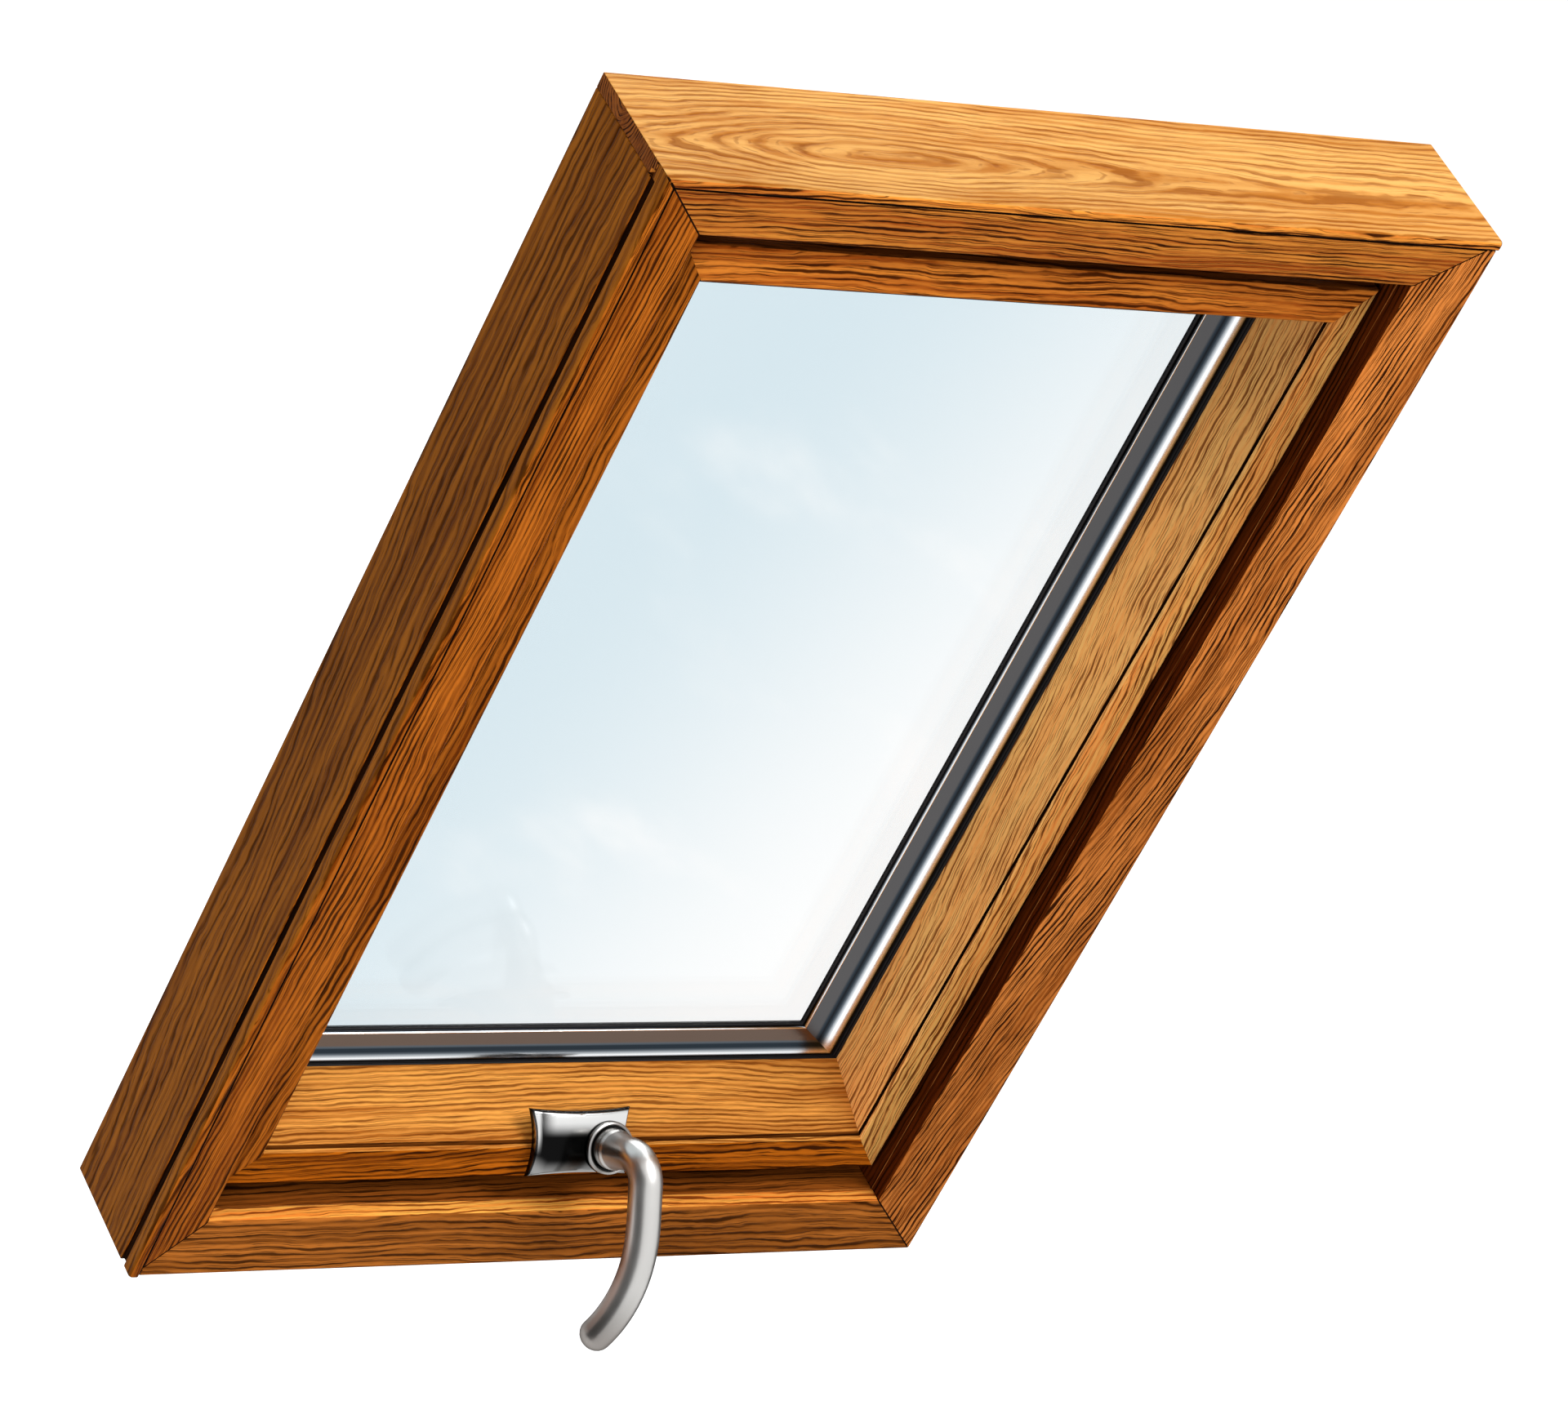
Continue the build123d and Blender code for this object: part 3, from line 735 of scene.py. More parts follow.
def arc(centre: Point, radius: float, start: float, end: float, steps: int) -> list[Point]:
    """Gives points on an arc, with angles in degrees from the inward direction towards the room."""
    return [(centre[0] + radius * cos(radians(start + (end - start) * step / steps)),
             centre[1] - radius * sin(radians(start + (end - start) * step / steps)))
            for step in range(steps + 1)]


# Sub-assemblies

class Side(Enum):
    """Direction that a member's face looks, as a normal."""

    FRONT = (0, -1, 0)
    LEFT = (-1, 0, 0)
    RIGHT = (1, 0, 0)
    UP = (0, 0, 1)
    DOWN = (0, 0, -1)


@dataclass(frozen=True)
class Member:
    """One timber member: its solid, its finish, and what differs on some of its faces."""

    node: str
    finish: OakFinish
    sides: tuple[tuple[Side, OakFinish], ...] = ()
    outer: Side | None = None
    # Finish of the joint faces: dark lines at the mitres, painted shade in the grooves and open joints.
    joint: OakFinish = OAK_JOINT_SHADE


@dataclass
class Timber:
    """The frame, its facing boards and the sash, all in oak."""

    frame_edge: float = 0.0009
    sash_edge: float = 0.0007
    facing_normal: float = 0.72
    mitre_normal: float = 0.2
    sash_groove: tuple[float, float] = (0.0270, 0.0312)
    open_joint: tuple[float, float] = (0.0058, 0.0097)
    lining_groove: tuple[float, float] = (0.0108, 0.0192)
    lining_inset: tuple[float, float] = (0.0015, 0.0035)
    facing_back: float = 0.0206

    def members(self) -> list[Member]:
        """Lists the members. Faces that look into the gaps are darker, as painted shade; the frame's left
        stile and the top of the sash's right stile carry painted shade, and the bottom facing's top
        painted light.
        """
        return [
            Member("frame_top_rail", OAK_TOP,
                   ((Side.DOWN, OAK_GAP_SHADE), (Side.LEFT, OAK_END), (Side.RIGHT, OAK_END),
                    (Side.FRONT, OAK_FACE_TOP)), Side.UP),
            Member("frame_left_stile", OAK_LEFT_SHADED,
                   ((Side.RIGHT, OAK_SHADE), (Side.FRONT, OAK_FACE_LEFT)), Side.LEFT),
            Member("frame_right_stile", OAK_RIGHT, ((Side.LEFT, OAK_SHADE),), Side.RIGHT),
            Member("frame_bottom_rail", OAK_BOTTOM, ((Side.UP, OAK_REBATE_SHADE),)),
            Member("facing_left", OAK_FACE_LEFT, ((Side.RIGHT, OAK_JOINT_SHADE),), Side.LEFT),
            Member("facing_right", OAK_FACE_RIGHT, ((Side.LEFT, OAK_SHADE),)),
            Member("facing_top", OAK_FACE_TOP, ((Side.DOWN, OAK_GAP_SHADE),), Side.UP),
            Member("facing_bottom", OAK_FACE_BOTTOM, ((Side.UP, OAK_LEDGE_LIT),)),
            Member("sash_left_stile", OAK_SASH_LEFT,
                   ((Side.FRONT, OAK_FACE_LEFT), (Side.LEFT, OAK_SHADE))),
            Member("sash_right_stile", OAK_SASH_RIGHT,
                   ((Side.FRONT, OAK_LIP_RIGHT), (Side.RIGHT, OAK_SHADE))),
            Member("sash_bottom_rail", OAK_SASH_BOTTOM,
                   ((Side.FRONT, OAK_LIP_BOTTOM), (Side.DOWN, OAK_SHADE)), joint=OAK_GAP_SHADE),
            Member("sash_top_rail", OAK_SASH_TOP, ((Side.UP, OAK_GAP_SHADE),)),
        ]

    def build(self) -> None:
        """Makes each member as an eased copy of its solid, so that the joints show."""
        for member in self.members():
            in_sash = member.node.startswith("sash")
            shape = eased_copy(member.node, self.sash_edge if in_sash else self.frame_edge)
            finishes = [member.finish, *(finish for _, finish in member.sides), member.joint]
            # Faces on the listed sides take other finishes, mostly painted shade or painted light; faces
            # in joints and grooves take the joint finish.
            for face in shape.faces:
                for number, (side, _) in enumerate(member.sides):
                    if face.normal.dot(Vector(side.value)) > self.facing_normal:
                        face.material_index = number + 1
                if self.in_joint(member, face):
                    face.material_index = len(finishes) - 1
            eased_piece(f"{member.node}_oak", shape, [finish.material() for finish in finishes], "oak",
                        member.node)

    def in_joint(self, member: Member, face: BMFace) -> bool:
        """Tells whether a face lies in an open joint, a groove or the eased edge of a mitre, where the
        joint finish gives a dark line or painted shade.
        """
        normal = face.normal
        if normal.y < -self.mitre_normal and min(abs(normal.x), abs(normal.z)) > self.mitre_normal:
            return True
        depths = [vert.co.y - SIZES.front for vert in face.verts]
        if member.node.startswith("sash"):
            return self.sash_groove[0] < min(depths) and max(depths) < self.sash_groove[1]
        if member.outer is None:
            return False
        insets = [self.inset(vert.co, member.outer) for vert in face.verts]
        if self.lining_inset[0] < max(insets) < self.lining_inset[1]:
            return self.lining_groove[0] < min(depths) and max(depths) < self.lining_groove[1]
        return (self.open_joint[0] < min(insets) and max(insets) < self.open_joint[1]
                and max(depths) < self.facing_back)

    @staticmethod
    def inset(point: Vector, outer: Side) -> float:
        """Gives how far a point lies inside the frame's outer face on one side."""
        if outer is Side.UP:
            return SIZES.height - point.z
        return SIZES.width / 2 + (point.x if outer is Side.LEFT else -point.x)


@dataclass
class GlazingTrim:
    """The glass unit with its gaskets and the metal beads that hold it."""

    lip_width: float = 0.0032
    crown_rise: float = 0.0006
    # Colours painted across the bead's profile: a white painted highlight with paler fringes, painted
    # reflections of the dark surroundings and of the wood, and black at its edges.
    bright: Colour = (0.90, 0.92, 0.93)
    painted_half_highlight: Colour = (0.42, 0.45, 0.48)
    painted_steel_reflection: Colour = (0.10, 0.12, 0.14)
    grey: Colour = (0.082, 0.080, 0.082)
    painted_dark_reflection: Colour = (0.026, 0.036, 0.047)
    painted_wood_reflection: Colour = (0.150, 0.105, 0.082)
    black: Colour = (0.010, 0.012, 0.015)

    def bead_outline(self, bar: Bar) -> tuple[list[Point], list[Colour]]:
        """Draws the bead's profile, with painted highlights and reflections across it. The beads on the
        rails carry darker painted reflections of the wood than on the stiles.

        Args:
            bar: Side of the surround.

        Returns:
            The points and the colour painted at each.
        """
        start, crown = SIZES.gasket, SIZES.reveal_depth + self.crown_rise
        end, glass = SIZES.glass_margin_x - SIZES.inner_gasket, SIZES.glass_depth
        lip = end - self.lip_width
        body = ((0, 0.0014, self.black), (0.0004, 0.0005, self.black), (0.0014, 0, self.black),
                (0.0024, 0.0001, self.black), (0.0034, 0.0002, self.painted_half_highlight),
                (0.0046, 0.0004, self.bright), (0.0072, 0.0009, self.bright),
                (0.0092, 0.0016, self.bright), (0.0108, 0.0023, self.painted_half_highlight),
                (0.0124, 0.0030, self.painted_steel_reflection), (0.0138, 0.0035, self.painted_dark_reflection),
                (0.0156, 0.0041, self.black), (0.0174, 0.0048, self.painted_dark_reflection),
                (0.0192, 0.0054, self.grey), (0.0220, 0.0065, self.grey))
        nose = ((-0.0004, 0.0030, self.grey), (0, 0.0029, self.black), (0.0003, 0.0034, self.bright),
                (0.0009, 0.0040, self.bright), (0.0016, 0.0040, self.bright),
                (0.0022, 0.0035, self.painted_half_highlight), (0.0026, 0.0026, self.black))
        marks = [((start, glass), self.black),
                 *(((start + inward, crown + fall), tone) for inward, fall, tone in body),
                 *(((lip + inward, glass - rise), tone) for inward, rise, tone in nose),
                 ((end, glass - 0.0020), self.black), ((end, glass), self.black)]
        tones = [colour for _, colour in marks]
        # On the rails the middle bands are darker painted reflections, with the wood's colour in them.
        if bar.value[1]:
            tones[7:17] = [self.painted_half_highlight, self.painted_steel_reflection, self.painted_dark_reflection, self.painted_dark_reflection, self.painted_dark_reflection, self.painted_steel_reflection,
                           self.painted_wood_reflection, self.painted_wood_reflection, self.painted_wood_reflection, self.painted_wood_reflection]
        return [point for point, _ in marks], tones

    def gasket_outline(self) -> list[Point]:
        """Draws the gasket between the timber and the bead, with its raised ribs."""
        top = SIZES.reveal_depth + self.crown_rise
        return [(0.0, SIZES.unit_back), (0.0, top + 0.0004),
                *arc((0.0011, top + 0.0010), 0.0010, 150, 30, 4), (0.0023, top + 0.0019),
                *arc((0.0037, top + 0.0014), 0.0008, 160, 20, 4), (0.0048, top + 0.0026),
                (SIZES.gasket, top + 0.0030), (SIZES.gasket, SIZES.unit_back)]

    def lip_outline(self) -> list[Point]:
        """Draws the soft lip between the bead and the glass."""
        start, glass = SIZES.glass_margin_x - SIZES.inner_gasket, SIZES.glass_depth
        return [(start, glass), *arc((start + 0.0015, glass - 0.0009), 0.0014, 170, 10, 6),
                (start + SIZES.inner_gasket, glass)]

    def build(self) -> None:
        """Makes the beads and gaskets and dresses the glass."""
        for bar in Bar:
            side = bar.name.lower()
            new_piece(f"bead_{side}", mitred_bar(bar, *self.bead_outline(bar)),
                      [ANODISED_TRIM.material()], "bead_metal", nodes=[f"glazing_bead_{side}"])
        for name, outline, node in (("gasket", self.gasket_outline(), "glazing_gasket"),
                                    ("inner_gasket", self.lip_outline(), "inner_gasket")):
            for bar in Bar:
                new_piece(f"{name}_{bar.name.lower()}", mitred_bar(bar, outline),
                          [BLACK_RUBBER.material()], "rubber", nodes=[node] if bar is Bar.LEFT else [])
        paint_node("weather_seal", BLACK_RUBBER.material())
        paint_node("glass_inner_pane", CLEAR_GLASS.material())
        paint_node("glass_outer_pane", GLASS_PAINTED_SKY.material())
        paint_node("glass_spacer", SPACER.material())


@dataclass
class RoofSide:
    """The aluminium covers on the roof side, and the two hinges in the gap above the sash."""

    cover_edge: float = 0.0006
    hinge_edge: float = 0.0004

    def build(self) -> None:
        """Makes each cover and hinge as an eased copy of its solid."""
        for side in ("left", "right", "bottom", "top"):
            for node in (f"sash_cover_{side}", f"frame_cover_{side}"):
                eased_piece(f"{node}_sheet", eased_copy(node, self.cover_edge),
                            [POWDER_COAT.material()], "cover_metal", node)
        for node in ("hinge_left", "hinge_right"):
            eased_piece(f"{node}_zinc", eased_copy(node, self.hinge_edge), [ZINC.material()],
                        "hinge_steel", node)


@dataclass
class Handle:
    """The lever handle on its pillow-shaped plate, on a plane tilted over the sash lip's edge."""

    plate_x: float = 0.002
    lip_end: float = 0.0956
    lip_depth: float = 0.0243
    web: float = 0.0025
    plate_rise: float = 0.0053
    plate_width: float = 0.084
    plate_height: float = 0.049
    plate_thickness: float = 0.009
    side_hollow: float = 0.0045
    end_hollow: float = 0.0022
    side_fall: float = 0.0026
    end_fall: float = 0.0026
    rim_round: float = 0.0024
    saddle_edge: float = 0.001
    # The plate is black chrome; the brighter colour is its painted highlight.
    black_chrome: Colour = (0.007, 0.007, 0.007)
    painted_chrome_highlight: Colour = (0.80, 0.80, 0.79)
    darker_nickel: Colour = (0.27, 0.25, 0.235)
    lighter_nickel: Colour = (0.66, 0.65, 0.63)
    collar_x: float = 0.022
    collar_drop: float = 0.004
    collar_radius: float = 0.0195
    collar_height: float = 0.008
    collar_bore: float = 0.00905
    # Collar colours: a painted highlight on the rounded crest, painted shade in the groove and the bore,
    # mid grey elsewhere.
    collar_painted_highlight: Colour = (0.36, 0.35, 0.34)
    collar_mid: Colour = (0.20, 0.19, 0.18)
    collar_painted_shade: Colour = (0.02, 0.02, 0.02)
    neck_radius: float = 0.015
    neck_flare: float = 0.22
    pin_radius: float = 0.009
    seat_gap: float = 0.0003
    route_steps: int = 72
    tip_bulge: float = 0.92
    tube_radius: float = 0.0123
    route: tuple[Place, ...] = (
        (0, 0, 0.0130), (0, 0, 0.0190), (0, 0, 0.0250), (0, 0, 0.0310), (0, 0, 0.0410),
        (0.0018, -0.0085, 0.0490), (0.0020, -0.0190, 0.0490), (0.0024, -0.0400, 0.0490),
        (0.0040, -0.0580, 0.0490), (0.0010, -0.0760, 0.0470), (-0.0020, -0.0950, 0.0450),
        (-0.0080, -0.1150, 0.0380), (-0.0160, -0.1300, 0.0260))

    def __post_init__(self) -> None:
        """Works out the plate's plane."""
        tilt = SIZES.handle_tilt
        self.outward = Vector((0, -cos(tilt), sin(tilt)))
        self.upward = Vector((0, sin(tilt), cos(tilt)))
        edge = Vector((self.plate_x, SIZES.front + self.lip_depth, self.lip_end))
        centre = edge + self.outward * self.web + self.upward * self.plate_rise
        self.plate_frame = self.plane(centre)
        collar = (centre + Vector((self.collar_x, 0, 0)) - self.upward * self.collar_drop
                  + self.outward * self.plate_thickness)
        self.collar_frame = self.plane(collar)

    def plane(self, centre: Vector) -> Matrix:
        """Gives the matrix of a plane like the plate's at a point."""
        turn = Matrix(((1, 0, 0), self.upward, self.outward)).transposed()
        return Matrix.Translation(centre) @ turn.to_4x4()

    def build(self) -> None:
        """Makes the plate, collar, lever and saddle."""
        new_piece("handle_plate_pillow", self.plate(), [DARK_CHROME.material()], "chrome",
                  nodes=["handle_plate"])
        new_piece("handle_collar_ring", self.collar(), [COLLAR_STEEL.material()], "chrome",
                  nodes=["handle_collar"])
        new_piece("handle_lever_tube", self.lever(), [SATIN_NICKEL.material()], "handle_metal",
                  "handle", ["handle_lever"])
        eased_piece("handle_saddle_cast", eased_copy("handle_saddle", self.saddle_edge),
                    [CAST_METAL.material()], "handle_cast", "handle_saddle")

    def plate(self) -> BMesh:
        """Makes the plate: a grid drawn in at its sides, crowned, with rounded flanks.

        Returns:
            The mesh in the window's frame.
        """
        half_x, half_y = self.plate_width / 2, self.plate_height / 2
        shape = bmesh.new()
        bmesh.ops.create_grid(shape, x_segments=28, y_segments=18, size=1.0)
        for vert in shape.verts:
            u, v = vert.co.x, vert.co.y
            x = u * (half_x - self.side_hollow * (1 - v * v) * abs(u))
            y = v * (half_y - self.end_hollow * (1 - u * u) * abs(v))
            fall = self.side_fall * abs(u) ** 2.6 + self.end_fall * abs(v) ** 2.6
            vert.co = (x, y, self.plate_thickness - fall)
        border = [edge for edge in shape.edges if edge.is_boundary]
        grown = bmesh.ops.extrude_edge_only(shape, edges=border)
        low = [item for item in grown["geom"] if isinstance(item, BMVert)]
        for vert in low:
            vert.co.z = 0
        bmesh.ops.holes_fill(shape, edges=[edge for edge in shape.edges if edge.is_boundary])
        bmesh.ops.recalc_face_normals(shape, faces=shape.faces)
        bmesh.ops.bevel(shape, geom=border, offset=self.rim_round, offset_type="OFFSET", segments=4,
                        profile=0.5, affect="EDGES", material=-1, clamp_overlap=True)
        bmesh.ops.subdivide_edges(shape, edges=shape.edges, cuts=1, use_grid_fill=True)
        smooth_by_angle(shape, radians(40))
        paint(shape, [self.plate_tone(vert.co) for vert in shape.verts])
        shape.transform(self.plate_frame)
        return shape

    def plate_tone(self, place: Vector) -> Colour:
        """Gives the plate's colour at a point: black chrome with painted highlights, which stand in for
        reflections, over its upper part and along its left and lower edges.

        The shares u and v run from -1 to 1 across and up the plate.

        Args:
            place: Point in the plate's plane.

        Returns:
            The metal's colour.
        """
        u, v = place.x / (self.plate_width / 2), place.y / (self.plate_height / 2)
        # Painted highlights standing in for reflections: a band over the upper part, the left edge, the
        # lower edge and the lower-left corner; the top edge and the flanks stay black.
        top = fade(v, 0.16, 0.62) * fade(u, -0.86, -0.50)
        left = fade(u, -0.78, -0.86) * fade(v, -0.4, 0.30)
        low = 0.34 * fade(v, -0.50, -0.90)
        corner = 0.42 * fade(u + v, -1.15, -1.70)
        rim = self.plate_height / 2 - self.end_hollow * (1 - u * u) - place.y
        share = max(top, left, low, corner) * fade(rim, 0.0010, 0.0030)
        share *= fade(place.z, self.plate_thickness - 0.0062, self.plate_thickness - 0.0036)
        return blend(self.black_chrome, self.painted_chrome_highlight, share)

    def collar(self) -> BMesh:
        """Turns the collar's stepped section about the lever's axis.

        Returns:
            The mesh in the window's frame.
        """
        rim, high, inside = self.collar_radius, self.collar_height, self.collar_radius - self.collar_bore
        light, mid, deep = self.collar_painted_highlight, self.collar_mid, self.collar_painted_shade
        # Painted highlight on the crest, painted shade in the groove and the bore.
        marks = ((inside, -0.0012, deep), (0, -0.0012, deep), (0, 0.0010, deep), (0, 0.0020, light),
                 (0.0006, 0.0034, light), (0.0018, 0.0040, light), (0.0026, 0.0038, mid),
                 (0.0031, 0.0026, deep), (0.0038, 0.0026, deep), (0.0043, 0.0040, mid),
                 (0.0046, high - 0.0012, mid), (0.0052, high - 0.0003, mid), (0.0062, high, mid),
                 (inside, high, mid))
        shape = bmesh.new()
        for inset, height, _ in marks:
            shape.verts.new((rim - inset, 0, height))
        paint(shape, [tone for _, _, tone in marks])
        verts = list(shape.verts)
        edges = [shape.edges.new(pair) for pair in zip(verts, verts[1:] + verts[:1])]
        bmesh.ops.spin(shape, geom=verts + edges, cent=(0, 0, 0), axis=(0, 0, 1), angle=2 * pi,
                       steps=64, use_merge=True)
        bmesh.ops.remove_doubles(shape, verts=shape.verts, dist=1e-6)
        bmesh.ops.recalc_face_normals(shape, faces=shape.faces)
        smooth_by_angle(shape, radians(38))
        shape.transform(self.collar_frame)
        return shape

    def route_point(self, share: float) -> Vector:
        """Gives a point of the lever's route, for a share of its curves from 0 to 1.

        Args:
            share: Share of the route.

        Returns:
            The point.
        """
        curves = len(self.route) // 3
        place = min(max(share, 0.0), 1.0) * curves
        number = min(int(place), curves - 1)
        t = place - number
        a, b, c, d = (Vector(point) for point in self.route[3 * number:3 * number + 4])
        return a * (1 - t) ** 3 + b * 3 * t * (1 - t) ** 2 + c * 3 * t * t * (1 - t) + d * t ** 3

    def lever(self) -> BMesh:
        """Extrudes a ring along the lever's route, with a flared neck and a domed tip.

        Returns:
            The mesh in the window's frame.
        """
        at, steps, radius, neck = self.route_point, self.route_steps, self.tube_radius, self.neck_radius
        shape = bmesh.new()
        bmesh.ops.create_circle(shape, segments=40, radius=1.0, cap_ends=False)
        ring_edges = list(shape.edges)
        ring = list(shape.verts)
        unit = [vert.co.copy() for vert in ring]
        axis = Vector((0, 0, 1))
        turn = Matrix.Identity(3)
        stations: list[tuple[Vector, Matrix, float]] = []
        low = self.collar_height + self.seat_gap
        for height, size in ((self.seat_gap, self.pin_radius), (low, self.pin_radius),
                             (low, neck - 0.0008), (low + 0.0008, neck), (low + 0.0022, neck),
                             (low + 0.0034, neck - 0.0009)):
            stations.append((Vector((0, 0, height)), turn.copy(), size))
        for step in range(steps + 1):
            share = step / steps
            here = at(share)
            heading = (at(share + 0.004) - at(share - 0.004)).normalized()
            turn = axis.rotation_difference(heading).to_matrix() @ turn
            axis = heading
            flare = max(0.0, 1 - share / self.neck_flare)
            size = radius + (neck - 0.0012 - radius) * flare ** 2
            stations.append((here, turn.copy(), size))
        last, facing, size = stations[-1]
        for degrees in (15, 30, 45, 58, 70, 80, 86):
            angle = radians(degrees)
            stations.append((last + axis * size * sin(angle) * self.tip_bulge, facing, size * cos(angle)))
        self.place_ring(ring, unit, stations[0])
        for station in stations[1:]:
            grown = bmesh.ops.extrude_edge_only(shape, edges=ring_edges)
            fresh = [item for item in grown["geom"] if isinstance(item, BMVert)]
            ring_edges = [item for item in grown["geom"] if isinstance(item, BMEdge)
                          and all(vert in fresh for vert in item.verts)]
            pairs = {self.partner(vert, fresh): vert for vert in fresh}
            ring = [pairs[vert] for vert in ring]
            self.place_ring(ring, unit, station)
        bmesh.ops.holes_fill(shape, edges=[edge for edge in shape.edges if edge.is_boundary])
        bmesh.ops.recalc_face_normals(shape, faces=shape.faces)
        smooth_by_angle(shape, radians(40))
        paint(shape, [self.lever_tone(vert.co) for vert in shape.verts])
        shape.transform(self.collar_frame)
        return shape

    def lever_tone(self, place: Vector) -> Colour:
        """Gives the lever's colour, darker towards its tip and near the collar."""
        share = fade(place.y, -0.138, -0.088) * (0.45 + 0.55 * fade(place.z, 0.012, 0.044))
        return blend(self.darker_nickel, self.lighter_nickel, share)

    @staticmethod
    def partner(vert: BMVert, fresh: list[BMVert]) -> BMVert:
        """Finds the older vertex that a fresh one was extruded from."""
        return next(edge.other_vert(vert) for edge in vert.link_edges
                    if edge.other_vert(vert) not in fresh)

    @staticmethod
    def place_ring(ring: list[BMVert], unit: list[Vector],
                   station: tuple[Vector, Matrix, float]) -> None:
        """Moves a ring to a station of centre, turn and radius."""
        centre, turn, size = station
        for vert, start in zip(ring, unit):
            vert.co = centre + turn @ (start * size)


# Studio

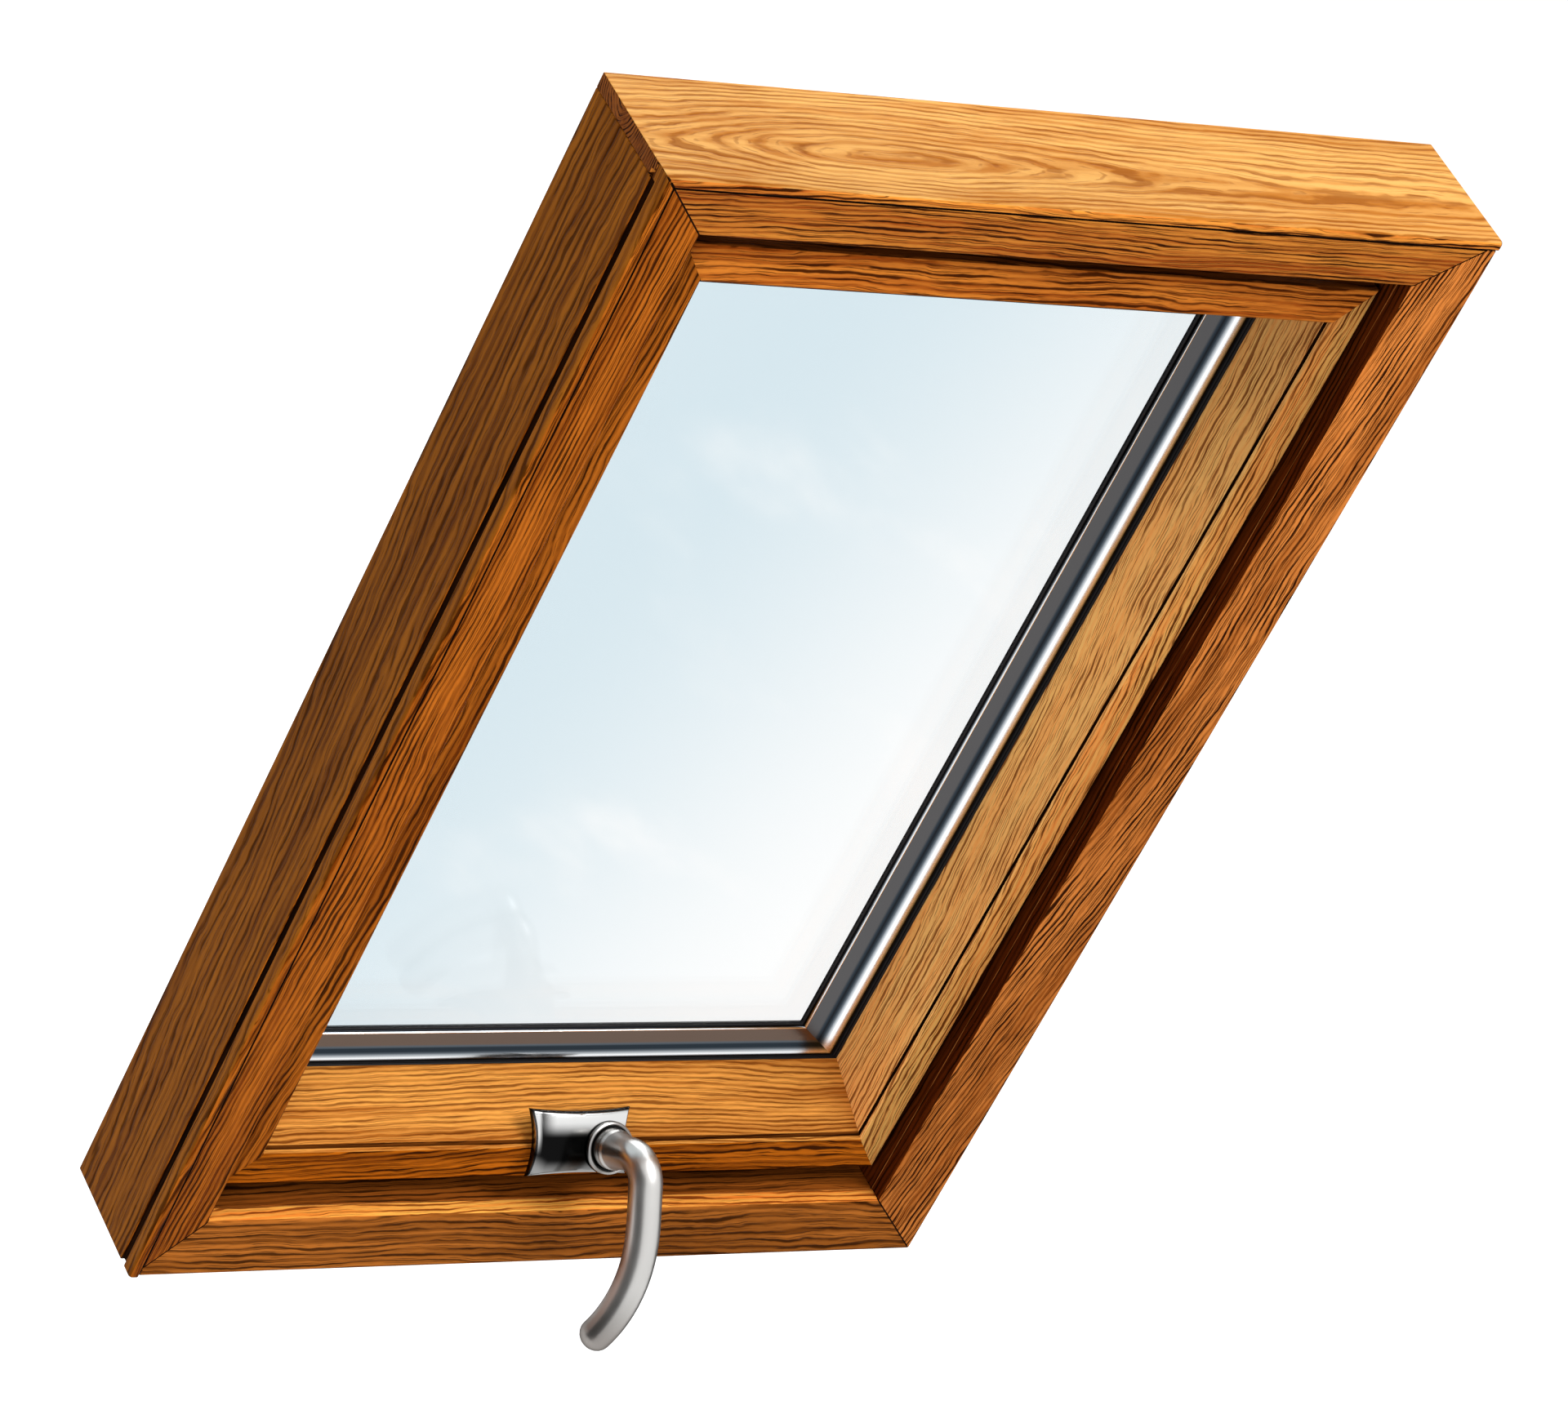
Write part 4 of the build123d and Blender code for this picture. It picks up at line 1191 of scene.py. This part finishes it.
@dataclass
class Studio:
    """Camera, floor, lamps and world."""

    eye: Place = (-2.4105, -2.6565, 2.9242)
    right: Place = (0.82987, -0.39720, 0.39185)
    up: Place = (-0.01772, 0.68318, 0.73003)
    lens: float = 145.646
    floor_z: float = -0.9
    sky: float = 0.32
    card_distance: float = 1.2
    middle: Place = (0, 0, 0.48)
    handle: Place = (0.03, -0.09, 0.06)

    def build(self) -> None:
        """Sets the whole studio up."""
        self.build_camera()
        self.build_floor()
        self.build_world()
        self.lamp("key_lamp", (0.30, -0.36, 0.88), 3.2, 1.7, 78)
        self.lamp("left_lamp", (-0.80, -0.56, 0.22), 3.0, 1.6, 46).visible_glossy = False
        self.build_card("left_card", (-0.93, -0.30, 0.22), 1.5, 1.5)
        self.build_card("right_card", (0.90, 0.35, -0.27), 1.6, 1.4)
        self.build_card("rear_card", (0.52, 0.58, -0.63), 1.1, 1.1)
        self.lamp("back_lamp", (0.30, 0.84, 0.45), 3.2, 2.0, 42)
        bpy.context.scene.view_settings.view_transform = "Standard"

    def build_camera(self) -> None:
        """Creates the camera at the photograph's viewing angle."""
        camera = bpy.data.cameras.new("photo_camera")
        camera.sensor_fit, camera.sensor_width, camera.lens = "HORIZONTAL", 36, self.lens
        camera.clip_end = 100
        viewer = bpy.data.objects.new("photo_camera", camera)
        right, up = Vector(self.right).normalized(), Vector(self.up)
        back = right.cross(up).normalized()
        up = back.cross(right)
        turn = Matrix((right, up, back)).transposed().to_4x4()
        viewer.matrix_world = Matrix.Translation(self.eye) @ turn
        bpy.context.scene.collection.objects.link(viewer)
        bpy.context.scene.camera = viewer

    def build_floor(self) -> None:
        """Makes the pale floor, which keeps the window's soft shadow."""
        shape = bmesh.new()
        bmesh.ops.create_grid(shape, x_segments=1, y_segments=1, size=30)
        bmesh.ops.translate(shape, vec=(0, 0, self.floor_z), verts=shape.verts)
        floor = add_object("studio_floor", shape)
        material, board, shader = fresh_material("studio_floor")
        path = board.add("ShaderNodeLightPath").outputs
        seen = board.math("MAXIMUM", path["Is Camera Ray"], path["Is Glossy Ray"])
        through = path["Is Transmission Ray"]
        shade = board.mix(seen, rgba((0.30, 0.30, 0.30)), rgba((0.55, 0.55, 0.55)))
        glow = board.math("MAXIMUM", board.math("MULTIPLY", seen, 0.80), through)
        board.fill(shader, {
            "Base Color": board.mix(through, shade, rgba((0, 0, 0))), "Roughness": 1.0,
            "Specular IOR Level": 0.0, "Emission Color": rgba((1, 1, 1)), "Emission Strength": glow})
        floor.data.materials.append(material)

    def build_world(self) -> None:
        """Makes the world: a soft even light, seen as white by the camera, metal and glass."""
        world = bpy.data.worlds.new("studio_world")
        bpy.context.scene.world = world
        world.use_nodes = True
        board = NodeBoard(world.node_tree)
        path = board.add("ShaderNodeLightPath").outputs
        seen = board.math("MAXIMUM", path["Is Camera Ray"], board.math(
            "MAXIMUM", path["Is Glossy Ray"], path["Is Transmission Ray"]))
        strength = board.math("ADD", board.math("MULTIPLY", seen, 1 - self.sky), self.sky)
        board.fill(world.node_tree.nodes["Background"], {"Color": rgba((1, 1, 1)), "Strength": strength})

    @staticmethod
    def facing(target: Place, direction: Place, distance: float) -> Matrix:
        """Places a lamp or card so that it faces a point.

        Args:
            target: The point.
            direction: Direction from the point to the lamp or card.
            distance: Distance from the point.

        Returns:
            The matrix.
        """
        towards = Vector(direction).normalized()
        turn = towards.to_track_quat("Z", "Y").to_matrix().to_4x4()
        return Matrix.Translation(Vector(target) + towards * distance) @ turn

    def lamp(self, name: str, direction: Place, distance: float, size: float, power: float) -> Object:
        """Adds a square soft lamp that faces the window's middle.

        Args:
            name: Name of the lamp.
            direction: Direction from the window to the lamp.
            distance: Distance from the window's middle.
            size: Side of the lamp.
            power: Power in watts.

        Returns:
            The lamp.
        """
        light = bpy.data.lights.new(name, "AREA")
        light.shape, light.size, light.energy = "SQUARE", size, power
        lamp = bpy.data.objects.new(name, light)
        lamp.matrix_world = self.facing(self.middle, direction, distance)
        bpy.context.scene.collection.objects.link(lamp)
        return lamp

    def build_card(self, name: str, direction: Place, width: float, height: float) -> None:
        """Makes a dark studio card, which only the gloss of the metal shows.

        Args:
            name: Name of the card.
            direction: Direction from the handle to the card.
            width: Width of the card.
            height: Height of the card.
        """
        shape = bmesh.new()
        bmesh.ops.create_grid(shape, x_segments=1, y_segments=1, size=0.5)
        bmesh.ops.scale(shape, vec=(width, height, 1), verts=shape.verts)
        shape.transform(self.facing(self.handle, direction, self.card_distance))
        card = add_object(name, shape)
        material, board, shader = fresh_material(name)
        board.fill(shader, {"Base Color": rgba((0.02, 0.02, 0.02)), "Roughness": 1.0,
                            "Emission Color": rgba((1, 1, 1)), "Emission Strength": 0.06})
        card.data.materials.append(material)
        card.visible_camera = card.visible_diffuse = card.visible_shadow = False
        card.visible_transmission = False


def main() -> None:
    """Builds the pieces in order."""
    logging.basicConfig(level=logging.INFO, format="%(message)s")
    build_oak_grain()
    build_surface_wear()
    for assembly in (Studio(), Timber(), GlazingTrim(), RoofSide(), Handle()):
        assembly.build()


if __name__ == "__main__":
    main()
